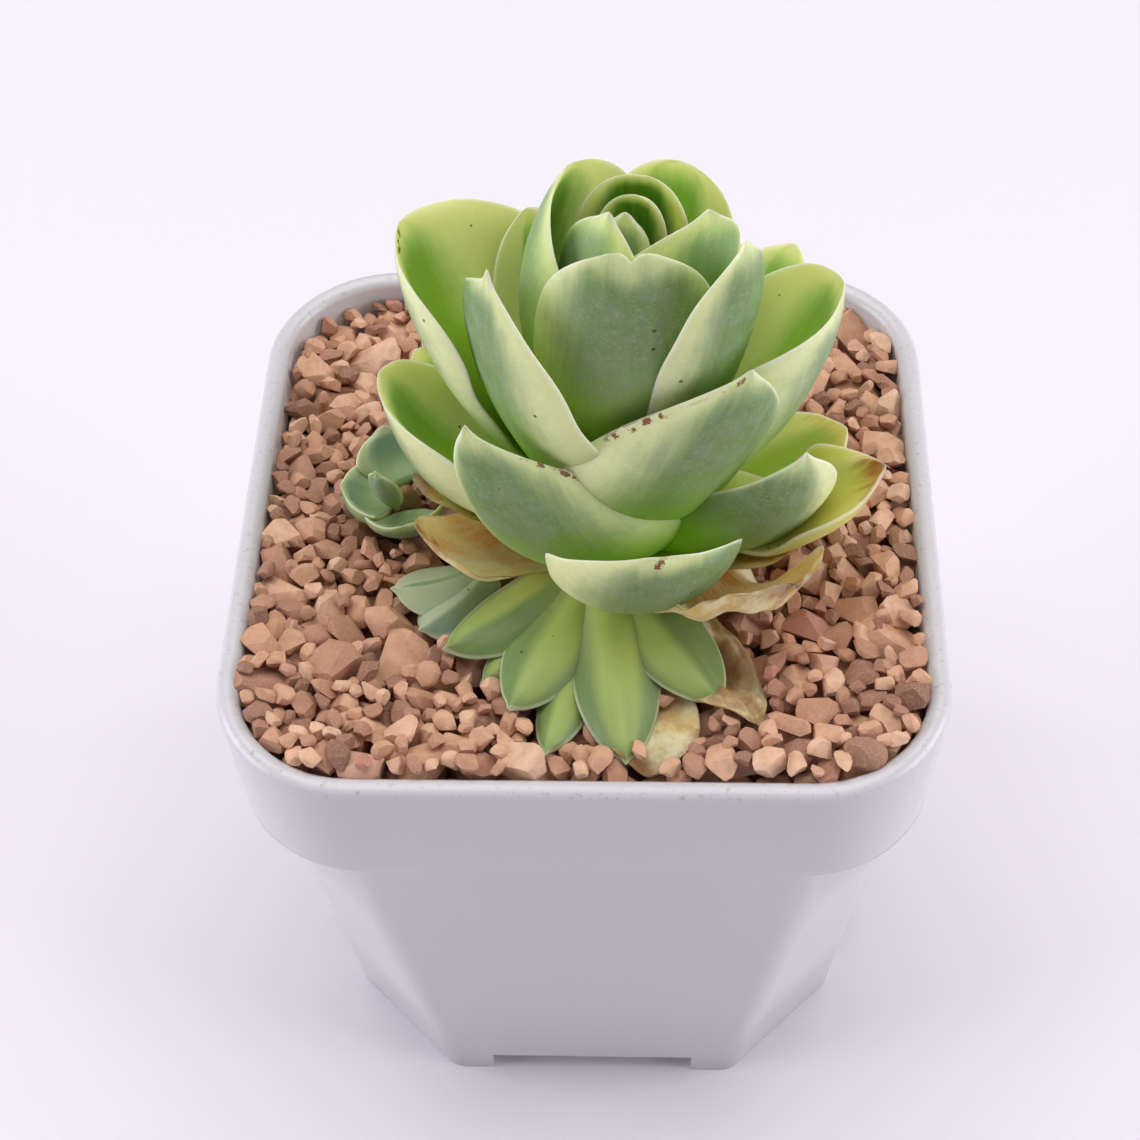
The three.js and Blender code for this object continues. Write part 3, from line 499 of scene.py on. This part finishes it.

# In each palette the rim colour, with its width and share, is a painted highlight along the leaf's very edge.
LEAF_COLOURS = dict(outer_low="#a8d250", outer_high="#728f55", outer_margin="#e8eeb2", inner_low="#b8e23c",
                    inner_high="#8cbc38", inner_margin="#eaf0a0", streak="#c4dc78", powder="#8fa385",
                    grain="#c4d4b0", rim="#f6f5dc", painted_highlight_width=0.5, painted_highlight_share=0.5, bloom=0.55, roughness=0.42)
BUD_COLOURS = {**LEAF_COLOURS, "outer_high": "#86a668", "outer_low": "#a0c860", "outer_margin": "#dcea9c",
               "inner_low": "#86ba0c", "inner_high": "#5c9014", "bloom": 0.4}
OFFSET_COLOURS = {**LEAF_COLOURS, "outer_low": "#7c9c46", "outer_high": "#4e6c34", "outer_margin": "#668048",
                  "inner_low": "#c0ce6c", "inner_high": "#98ae62", "inner_margin": "#748e54", "bloom": 0.3,
                  "rim": "#dce6b8", "painted_highlight_width": 0.3, "painted_highlight_share": 0.6}
# A darker copy of the offset palette for the left and low offsets: their own greyer, bluer green, darkened as
# painted shade for the shadow they sit in under the rosette.
PAINTED_SHADE_OFFSET_COLOURS = {**OFFSET_COLOURS, "outer_low": "#849c5c", "outer_high": "#6c8866",
                         "outer_margin": "#94a474", "inner_low": "#86a26a", "inner_high": "#7c9a84",
                         "inner_margin": "#b4c2a0", "bloom": 0.5}


# --- Modelling helpers -----------------------------------------------------------------------------------
def start():
    """Nothing selected, and in object mode."""
    if bpy.context.mode != "OBJECT":
        bpy.ops.object.mode_set(mode="OBJECT")
    bpy.ops.object.select_all(action="DESELECT")


def apply(piece, kind, **settings):
    """Adds a modifier to a piece and applies it."""
    modifier = piece.modifiers.new(kind.lower(), kind)
    for name, value in settings.items():
        setattr(modifier, name, value)
    start()
    piece.select_set(True)
    bpy.context.view_layer.objects.active = piece
    bpy.ops.object.modifier_apply(modifier=modifier.name)


def finish_piece(piece, name, material, slot, *nodes, smooth=None):
    """Names a piece, gives it its material and smooth shading, and ties it to the frame."""
    piece.name = name
    piece.data.name = name
    piece.data.materials.clear()
    piece.data.materials.append(material)
    start()
    piece.select_set(True)
    bpy.context.view_layer.objects.active = piece
    bpy.ops.object.transform_apply(location=True, rotation=True, scale=True)
    if smooth is None:
        bpy.ops.object.shade_smooth()
    else:
        bpy.ops.object.shade_smooth_by_angle(angle=math.radians(smooth))
    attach(piece, "root")
    if nodes:
        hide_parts(*nodes)
    return piece


# --- Pot -------------------------------------------------------------------------------------------------
def square(width, reach, edge, z):
    """The points of a level square, anticlockwise from +X. Each corner is cut by a face that reaches this far
    along the sides, and the face's two edges are rounded to the edge radius."""
    outer = width / 2
    ease = edge * math.tan(math.pi / 8)
    start_at = outer - reach - ease
    points = []
    for quarter in range(4):
        turn = Matrix.Rotation(quarter * math.pi / 2, 3, "Z")
        for half, centre in ((0, (outer - edge, start_at)), (1, (start_at, outer - edge))):
            for step in range(CORNER_STEPS + 1):
                angle = (half + step / CORNER_STEPS) * math.pi / 4
                points.append(turn @ Vector((centre[0] + edge * math.cos(angle),
                                             centre[1] + edge * math.sin(angle), 0)) + Vector((0, 0, z)))
    return points


def rounded_square(width, corner, z):
    return square(width, ROUND_REACH * corner, corner, z)


def by_angle(points):
    return sorted(points, key=lambda p: math.atan2(p.y, p.x))


def raise_walls(rings):
    """A round plate is pressed square and drawn up, ring after ring, into a closed shell."""
    start()
    bpy.ops.mesh.primitive_circle_add(vertices=len(rings[0]), radius=0.02, fill_type="NGON")
    piece = bpy.context.object
    bpy.ops.object.mode_set(mode="EDIT")
    bpy.ops.mesh.select_all(action="SELECT")
    for index, ring in enumerate(rings):
        if index:
            bpy.ops.mesh.extrude_region_move()
        mesh = bmesh.from_edit_mesh(piece.data)
        picked = sorted((v for v in mesh.verts if v.select), key=lambda v: math.atan2(v.co.y, v.co.x))
        for vertex, point in zip(picked, by_angle(ring)):
            vertex.co = point * MM
        bmesh.update_edit_mesh(piece.data)
    bpy.ops.mesh.select_all(action="SELECT")
    bpy.ops.mesh.normals_make_consistent(inside=False)
    bpy.ops.object.mode_set(mode="OBJECT")
    return piece


def cut_away(piece, cutters):
    for cutter in cutters:
        apply(piece, "BOOLEAN", object=cutter, operation="DIFFERENCE", solver="EXACT")
        bpy.data.objects.remove(cutter)


BAND_BOTTOM = POT_HEIGHT - RIM_BAND
BAND_WIDTH = RIM_WIDTH - 2 * BAND_TAPER
BODY_TOP_WIDTH = BAND_WIDTH - 2 * SHOULDER
FLOOR_TOP = FOOT_HEIGHT + FLOOR_THICKNESS


def body(z, inset=0.0):
    """The ring of the body's outside at a height, drawn in by an inset."""
    share = z / BAND_BOTTOM
    reach = BASE_CHAMFER + (TOP_CHAMFER - BASE_CHAMFER) * share
    edge = BASE_EDGE + (TOP_EDGE - BASE_EDGE) * share
    width = BASE_WIDTH + (BODY_TOP_WIDTH - BASE_WIDTH) * share
    return square(width - 2 * inset, reach - inset * ROUND_REACH, max(edge - inset, 1), z)


def inner_rim(z, inset=0.0):
    """The ring of the rim's inner wall at a height, drawn in by an inset."""
    return rounded_square(RIM_WIDTH - 2 * (RIM_WALL + inset), RIM_CORNER - RIM_WALL - inset, z)


def make_pot():
    rings = [body(FOOT_HEIGHT, FOOT_WALL), body(0, FOOT_WALL), body(0)]
    rings += [body(BAND_BOTTOM * share) for share in (0.33, 0.66, 1)]
    for drop, inset in ((0, 1.8), (0, 1.1), (0.3, 0.4), (1.0, 0.05), (2.0, 0)):
        # the band's lower edge is rounded
        rings.append(rounded_square(BAND_WIDTH - 2 * inset, RIM_CORNER - BAND_TAPER - inset,
                                    BAND_BOTTOM + 0.1 + drop))
    for step in range(7):
        # over the lip, from the outside to the inside
        angle = step / 6 * math.pi
        inset = RIM_WALL / 2 * (1 - math.cos(angle))
        z = POT_HEIGHT - LIP_ROUNDING * (1 - math.sin(angle))
        rings.append(rounded_square(RIM_WIDTH - 2 * inset, RIM_CORNER - inset, z))
    rings.append(inner_rim(BAND_BOTTOM + 1.5))
    rings += [body(z, BODY_WALL) for z in (BAND_BOTTOM - 1.5, BAND_BOTTOM / 2, FLOOR_TOP)]
    pot = raise_walls(rings)
    cutters = []
    across = BASE_WIDTH + 20
    for width, depth in ((FOOT_NOTCH_WIDTH, across), (across, FOOT_NOTCH_WIDTH)):
        start()
        bpy.ops.mesh.primitive_cube_add(size=1, location=(0, 0, 0),
                                        scale=(width * MM, depth * MM, 2 * FOOT_HEIGHT * MM))
        cutters.append(bpy.context.object)
    for column in (-1, 0, 1):
        for row in (-1, 0, 1):
            start()
            bpy.ops.mesh.primitive_cylinder_add(
                vertices=32, radius=DRAIN_HOLE / 2 * MM, depth=10 * MM,
                location=(column * DRAIN_SPACING * MM, row * DRAIN_SPACING * MM, FLOOR_TOP * MM))
            cutters.append(bpy.context.object)
    cut_away(pot, cutters)
    apply(pot, "BEVEL", width=0.3 * MM, segments=2, limit_method="ANGLE", angle_limit=math.radians(40))
    return finish_piece(pot, "nursery_pot", moulded_polypropylene(), "pot", "pot", smooth=35)


# --- Stems and leaves ------------------------------------------------------------------------------------
def plant_matrix(plant):
    tilt_x, tilt_y = (math.radians(a) for a in plant["tilt"])
    return (Matrix.Translation(Vector(plant["place"]) * MM)
            @ Matrix.Rotation(tilt_y, 4, "Y") @ Matrix.Rotation(tilt_x, 4, "X"))


def stem_radius_at(plant, height):
    share = min(max(height / plant["stem_length"], 0), 1)
    return plant["stem_radius"] + (min(STEM_TIP_RADIUS, plant["stem_radius"]) - plant["stem_radius"]) * share


def leaf_coordinates(plant, shape, thickness, s, theta, seed):
    """Points of a leaf's skin, in millimetres in its plant's frame. s runs from the root to the tip, and
    theta goes round the section, from one margin over the inner face to the other margin and back outside."""
    turn = math.radians(shape["azimuth"])
    root = np.array([stem_radius_at(plant, shape["root"]) + CLEARANCE + thickness / 2, shape["root"]])
    tip = np.array([shape["reach"], shape["rise"]], float)
    chord = tip - root
    outwards = np.array([chord[1], -chord[0]]) / np.linalg.norm(chord)
    bow = root + 0.5 * chord + shape["bulge"] * outwards
    t = s[:, None]
    middle = (1 - t) ** 2 * root + 2 * t * (1 - t) * bow + t ** 2 * tip
    tangent = 2 * (1 - t) * (bow - root) + 2 * t * (tip - bow)
    tangent /= np.linalg.norm(tangent, axis=1)[:, None]
    length = np.linalg.norm(bow - root) + np.linalg.norm(tip - bow)

    before = np.minimum(s / shape["widest"], 1)
    swell = shape["base"] + (1 - shape["base"]) * np.sin(before * np.pi / 2)
    past = np.clip((s - shape["widest"]) / (1 - shape["widest"]), 0, 1)
    half = shape["half"] * swell * np.maximum(1 - past ** TIP_FALL, 0) ** (1 / shape["blunt"])

    u = np.cos(theta)
    hang = shape["arch"] * np.abs(u) ** HANG_POWER * half / shape["half"]
    half = half * np.where(u < 0, shape["sides"][0], shape["sides"][1])
    lens = np.sign(np.sin(theta)) * np.abs(np.sin(theta)) ** LENS_POWER
    full = thickness * (1 - 0.5 * s ** 3) * np.sqrt(np.clip(1 - s ** 10, 0, 1))
    lift = lens * full / 2

    # small unevenness: the margins wave, the blade swells and dips
    wander = np.array([noise.noise(Vector((a * length / 7, seed * 3.7, b))) for a, b in zip(s, np.sign(u))])
    swells = np.array([noise.noise(Vector((a * length / 9, c * 1.3, seed * 5.1))) for a, c in zip(s, u)])
    half = half * (1 + 0.06 * wander * np.abs(u))
    fold = np.where(u > 0, shape["fold"][0], shape["fold"][1])
    angle = u * half / shape["cup"] * (1 + fold * u * u)
    radius = shape["cup"] - lift
    side = radius * np.sin(angle)
    depth = shape["cup"] - radius * np.cos(angle)
    depth = depth + shape["wave"] * (np.abs(u) ** 3 * wander * 1.6 + swells * 0.8)
    depth = depth + shape["curl"] * np.clip((s - 0.6) / 0.4, 0, 1) ** 2
    depth = depth - hang

    roll = math.radians(shape["roll"])
    across = side * math.cos(roll) - depth * math.sin(roll)
    inwards = side * math.sin(roll) + depth * math.cos(roll)
    near_tip = np.clip((s - 0.8) / 0.2, 0, 1)
    further = -shape["notch"] * np.exp(-(u / 0.3) ** 2) * near_tip
    further = further + shape["point"] * np.clip((s - 0.985) / 0.015, 0, 1) ** 2
    radial = middle[:, 0] + tangent[:, 0] * further - tangent[:, 1] * inwards
    height = middle[:, 1] + tangent[:, 1] * further + tangent[:, 0] * inwards
    sideways = across + shape["lean"] * s * s
    points = np.stack([radial * math.cos(turn) - sideways * math.sin(turn),
                       radial * math.sin(turn) + sideways * math.cos(turn), height], axis=1)
    return points, u, half, length


def draw_out(plant, shape, thickness, seed, segments=28, rings=26):
    """A leaf begins as a ball, whose poles become the root and the tip, and is drawn out into a cupped
    blade."""
    start()
    bpy.ops.mesh.primitive_uv_sphere_add(segments=segments, ring_count=rings, radius=1)
    piece = bpy.context.object
    mesh = piece.data
    ball = np.empty(len(mesh.vertices) * 3)
    mesh.vertices.foreach_get("co", ball)
    ball = ball.reshape(-1, 3)
    s = np.clip((ball[:, 2] + 1) / 2, 0, 1)
    theta = np.arctan2(ball[:, 1], ball[:, 0])
    poles = np.hypot(ball[:, 0], ball[:, 1]) < 1e-5
    theta[poles] = math.pi / 2
    points, u, half, length = leaf_coordinates(plant, shape, thickness, s, theta, seed)
    points[poles] = leaf_coordinates(plant, shape, 0.0, s[poles], theta[poles], seed)[0]
    mesh.vertices.foreach_set("co", (points * MM).ravel())
    inner = np.sin(theta)
    inner[poles] = 0
    shift_out, width_out = shape["outer"]
    shift_in, width_in = shape["inner"]
    band = np.where(inner > 0, np.abs(u - shift_in) / width_in, np.abs(u - shift_out) / width_out)
    pale_tip = shape["pale_tip"]
    band = np.maximum(band, 1.05 * np.clip((s - pale_tip) / (1 - pale_tip), 0, 1))
    scar = np.zeros(len(s))
    for s0, u0 in shape["scars"]:
        scar += np.exp(-((s - s0) / 0.09) ** 2 - ((u - u0) / 0.3) ** 2)
    for name, values in (("along", s), ("band", band), ("edge", (1 - np.abs(u)) * half), ("inner", inner),
                         ("scar", scar), ("dry", np.full(len(s), float(shape["dry"])))):
        mesh.attributes.new(name, "FLOAT", "POINT").data.foreach_set("value", values.astype(np.float32))
    skin = np.stack([u * half + seed * 13.7, s * length, np.sign(inner) * 20], axis=1)
    skin_data = mesh.attributes.new("skin", "FLOAT_VECTOR", "POINT").data
    skin_data.foreach_set("vector", skin.astype(np.float32).ravel())
    mesh.transform(plant_matrix(plant))
    mesh.update()
    start()
    piece.select_set(True)
    bpy.context.view_layer.objects.active = piece
    bpy.ops.object.mode_set(mode="EDIT")
    bpy.ops.mesh.select_all(action="SELECT")
    bpy.ops.mesh.normals_make_consistent(inside=False)
    bpy.ops.object.mode_set(mode="OBJECT")
    return piece


def grow_leaves(plant, leaves, thickness, material, slot, first_seed):
    made = []
    for number, shape in enumerate(leaves):
        piece = draw_out(plant, shape, thickness, first_seed + number)
        apply(piece, "SUBSURF", levels=1, render_levels=1)
        name = shape["name"].replace("leaf", "blade")
        made.append(finish_piece(piece, name, material, slot, shape["name"]))
    return made


def crumple(piece, seed, height, fine):
    """Wrinkles a dry leaf: ridges that run lengthwise, and a coarser buckling."""
    mesh = piece.data
    skin = mesh.attributes["skin"].data
    for vertex in mesh.vertices:
        across, lengthwise, _ = skin[vertex.index].vector
        ridges = noise.noise(Vector((across / 1.1, lengthwise / 5, seed)))
        buckles = noise.noise(Vector((across / 3.5, lengthwise / 3.5, seed + 7)))
        vertex.co.z += (height * buckles + fine * ridges) * MM
    mesh.update()


def wither_leaves(plant, leaves, thickness, material, slot, first_seed):
    made = []
    for number, shape in enumerate(leaves):
        seed = first_seed + number
        piece = draw_out(plant, shape, thickness, seed, segments=40, rings=34)
        crumple(piece, seed, 0.9 * shape["wave"], 0.2 + 0.35 * shape["wave"])
        apply(piece, "SUBSURF", levels=1, render_levels=1)
        name = shape["name"].replace("leaf", "blade")
        made.append(finish_piece(piece, name, material, slot, shape["name"]))
    return made


def make_stem(plant, node, material):
    """A cylinder is raised ring by ring, narrowing from the crown both ways."""
    radius, length = plant["stem_radius"], plant["stem_length"]
    depth = min(16, 5 * radius)
    profile = [(-depth, 0.35 * radius), (-depth / 2, 0.7 * radius)]
    profile += [(height, stem_radius_at(plant, height)) for height in (0, length / 2, length)]
    start()
    bpy.ops.mesh.primitive_circle_add(vertices=16, radius=1, fill_type="NGON")
    piece = bpy.context.object
    bpy.ops.object.mode_set(mode="EDIT")
    bpy.ops.mesh.select_all(action="SELECT")
    for index, (z, r) in enumerate(profile):
        if index:
            bpy.ops.mesh.extrude_region_move()
        mesh = bmesh.from_edit_mesh(piece.data)
        for vertex in (v for v in mesh.verts if v.select):
            direction = Vector((vertex.co.x, vertex.co.y, 0)).normalized()
            vertex.co = Vector((direction.x * r, direction.y * r, z)) * MM
        bmesh.update_edit_mesh(piece.data)
    bpy.ops.mesh.select_all(action="SELECT")
    bpy.ops.mesh.normals_make_consistent(inside=False)
    bpy.ops.object.mode_set(mode="OBJECT")
    piece.data.transform(plant_matrix(plant))
    apply(piece, "SUBSURF", levels=2, render_levels=2)
    return finish_piece(piece, node + "_wood", material, "stem", node)


# --- Granules --------------------------------------------------------------------------------------------
def break_stone(rng):
    """A granule is a ball with flat faces knocked off it. It has only a few dozen faces, because there are
    about two thousand of them."""
    start()
    bpy.ops.mesh.primitive_ico_sphere_add(subdivisions=2, radius=1)
    piece = bpy.context.object
    bpy.ops.object.mode_set(mode="EDIT")
    for _ in range(rng.randint(7, 10)):
        direction = Vector((rng.gauss(0, 1), rng.gauss(0, 1), rng.gauss(0, 1))).normalized()
        bpy.ops.mesh.select_all(action="SELECT")
        bpy.ops.mesh.bisect(plane_co=direction * rng.uniform(0.5, 0.8), plane_no=direction, use_fill=True,
                            clear_outer=True)
    bpy.ops.mesh.select_all(action="SELECT")
    bpy.ops.mesh.dissolve_limited(angle_limit=math.radians(25))
    bpy.ops.mesh.normals_make_consistent(inside=False)
    bpy.ops.object.mode_set(mode="OBJECT")
    apply(piece, "TRIANGULATE")
    mesh = piece.data
    points = np.array([v.co for v in mesh.vertices])
    faces = np.array([list(p.vertices) for p in mesh.polygons])
    bpy.data.objects.remove(piece)
    return points, faces


def surface_level(x, y):
    """Height of the top of the granules, in millimetres."""
    hollow = sum(depth * math.exp(-((x - hx) ** 2 + (y - hy) ** 2) / spread)
                 for hx, hy, depth, spread in HOLLOWS)
    uneven = 0.7 * noise.noise(Vector((x / 14, y / 14, 3.3)))
    by_wall = 0.8 * min(max((max(abs(x), abs(y)) - 26) / 5, 0), 1)
    return GRAVEL_TOP - GRAVEL_RISE * y + uneven - hollow + by_wall


def settle(rng, count, bottom):
    """Drops granules one by one: each tries a few places, rolls downhill over those that lie there already,
    and stops. Returns x, y, z and radius for each."""
    half = RIM_WIDTH / 2 - RIM_WALL - 0.1
    corner = RIM_CORNER - RIM_WALL
    straight = half - corner
    cell = 5.0
    grid = {}
    placed = []

    def rest_height(x, y, r):
        z = bottom + r
        gx, gy = int(x // cell), int(y // cell)
        for i in (gx - 1, gx, gx + 1):
            for j in (gy - 1, gy, gy + 1):
                for px, py, pz, pr in grid.get((i, j), ()):
                    gap = NESTING * (r + pr)
                    flat = (px - x) ** 2 + (py - y) ** 2
                    if flat < gap * gap:
                        z = max(z, pz + math.sqrt(gap * gap - flat))
        return z

    def inside(x, y, r):
        dx = max(abs(x) - straight, 0)
        dy = max(abs(y) - straight, 0)
        return math.hypot(dx, dy) <= corner - 0.7 * r

    refused = 0
    while len(placed) < count and refused < 400:
        r = rng.lognormvariate(math.log(GRANULE_RADIUS), GRANULE_SPREAD)
        r = min(max(r, SMALLEST_GRANULE), LARGEST_GRANULE)
        best = None
        for _ in range(5):
            x, y = rng.uniform(-half, half), rng.uniform(-half, half)
            if not inside(x, y, r):
                continue
            depth = rest_height(x, y, r) - surface_level(x, y)
            if best is None or depth < best[0]:
                best = (depth, x, y)
        if best is None:
            continue
        depth, x, y = best
        step = 0.5 * r
        for _ in range(14):
            angle = rng.uniform(0, 2 * math.pi)
            nx, ny = x + step * math.cos(angle), y + step * math.sin(angle)
            if inside(nx, ny, r):
                lower = rest_height(nx, ny, r) - surface_level(nx, ny)
                if lower < depth:
                    depth, x, y = lower, nx, ny
        z = rest_height(x, y, r)
        if z + 0.55 * r > surface_level(x, y) + 0.9:
            refused += 1
            continue
        refused = 0
        placed.append((x, y, z, r))
        grid.setdefault((int(x // cell), int(y // cell)), []).append((x, y, z, r))
    return placed


def make_granules(obstacles):
    """About two thousand granules as one piece. Joining that many copies by operators would take minutes, so
    the copies' points are worked out in an array, and one mesh is made of them."""
    rng = random.Random(11)
    kinds = [break_stone(rng) for _ in range(GRANULE_KINDS)]
    bottom = GRAVEL_TOP - GRAVEL_LAYER
    stones = settle(rng, MOST_GRANULES, bottom)
    points, faces, tints = [], [], []
    count = 0
    for x, y, z, r in stones:
        shape, sides = kinds[rng.randrange(len(kinds))]
        scale = Matrix.Diagonal([r * rng.uniform(*limits) for limits in GRANULE_STRETCH])
        lie = Matrix.Rotation(rng.gauss(0, 0.45), 3, "X") @ Matrix.Rotation(rng.gauss(0, 0.45), 3, "Y")
        turn = Matrix.Rotation(rng.uniform(0, 2 * math.pi), 3, "Z")
        grain = Matrix.Rotation(rng.uniform(0, 2 * math.pi), 3, "X")
        grain = grain @ Matrix.Rotation(rng.uniform(0, 6.28), 3, "Z")
        tint = rng.random()
        if any(near_piece(tree, Vector((x, y, z)), r) for tree in obstacles):
            continue
        whole = np.array(turn @ lie @ scale @ grain)
        placed = shape @ whole.T + np.array([x, y, z])
        points.append(placed)
        faces.append(sides + count)
        tints.append(np.full(len(placed), tint))
        count += len(placed)
    points = np.concatenate(points) * MM
    faces = np.concatenate(faces)
    start()
    bpy.ops.mesh.primitive_cube_add(size=0.01)
    piece = bpy.context.object
    mesh = piece.data
    mesh.clear_geometry()
    mesh.from_pydata(points.tolist(), [], faces.tolist())
    mesh.attributes.new("tint", "FLOAT", "POINT").data.foreach_set(
        "value", np.concatenate(tints).astype(np.float32))
    return finish_piece(piece, "clay_granules", baked_clay(), "gravel", "gravel_bed", smooth=32)


def near_piece(tree, place, r):
    """Whether a granule would cut into a leaf."""
    found = tree.find_nearest(place * MM, 0.75 * r * MM)
    return found[0] is not None


def make_gravel_base():
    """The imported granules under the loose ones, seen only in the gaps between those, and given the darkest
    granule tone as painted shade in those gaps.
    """
    bottom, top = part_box("gravel_bed")[0].z / MM, GRAVEL_TOP - GRAVEL_LAYER + 1.5
    base = raise_walls([inner_rim(bottom, 0.4), inner_rim(top - 0.6, 0.4), inner_rim(top, 1.2)])
    mesh = base.data
    # the darkest granule tone: painted shade deep in the gaps between the loose granules
    mesh.attributes.new("tint", "FLOAT", "POINT").data.foreach_set(
        "value", np.full(len(mesh.vertices), 0.05, np.float32))
    return finish_piece(base, "packed_granules", bpy.data.materials["baked_clay"], "gravel", "gravel_bed",
                        smooth=40)


# --- The whole -------------------------------------------------------------------------------------------
def make_floor():
    start()
    bpy.ops.mesh.primitive_plane_add(size=4, location=(0, 0, 0))
    floor = bpy.context.object
    floor.name = "floor"
    floor.data.materials.append(studio_paper())


def tree_of(piece):
    mesh = piece.data
    return BVHTree.FromPolygons([v.co for v in mesh.vertices], [list(p.vertices) for p in mesh.polygons])


make_camera()
make_light()
make_floor()
make_pot()

leaf_skin = living_leaf("living_leaf_skin", LEAF_COLOURS)
bud_skin = living_leaf("young_leaf_skin", BUD_COLOURS)
offset_skin = living_leaf("offset_leaf_skin", OFFSET_COLOURS)
painted_shade_skin = living_leaf("painted_shade_offset_skin", PAINTED_SHADE_OFFSET_COLOURS)
dry_skin = dry_leaf("dry_leaf_skin")
bark = stem_bark()

grow_leaves(ROSETTE, OUTER_LEAVES, LEAF_THICKNESS, leaf_skin, "leaf", 1)
grow_leaves(ROSETTE, BUD_LEAVES, BUD_THICKNESS, bud_skin, "bud_leaf", 31)
low_pieces = grow_leaves(FRONT_OFFSET, FRONT_OFFSET_LEAVES, OFFSET_THICKNESS, offset_skin, "offset_leaf", 51)
# the left and low offsets take the darker palette, whose extra darkness is painted shade
low_pieces += grow_leaves(LEFT_OFFSET, LEFT_OFFSET_LEAVES, OFFSET_THICKNESS, painted_shade_skin, "offset_leaf", 61)
low_pieces += grow_leaves(LOW_OFFSET, LOW_OFFSET_LEAVES, OFFSET_THICKNESS, painted_shade_skin, "offset_leaf", 71)
low_pieces += wither_leaves(ROSETTE, WITHERED_LEAVES, WITHERED_THICKNESS, dry_skin, "withered_leaf", 81)

for plant, node in ((ROSETTE, "main_stem"), (FRONT_OFFSET, "front_offset_stem"),
                    (LEFT_OFFSET, "left_offset_stem"), (LOW_OFFSET, "low_offset_stem")):
    make_stem(plant, node, bark)

make_granules([tree_of(piece) for piece in low_pieces])
make_gravel_base()

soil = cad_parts["soil"]
soil.data.materials.clear()
soil.data.materials.append(potting_mix())
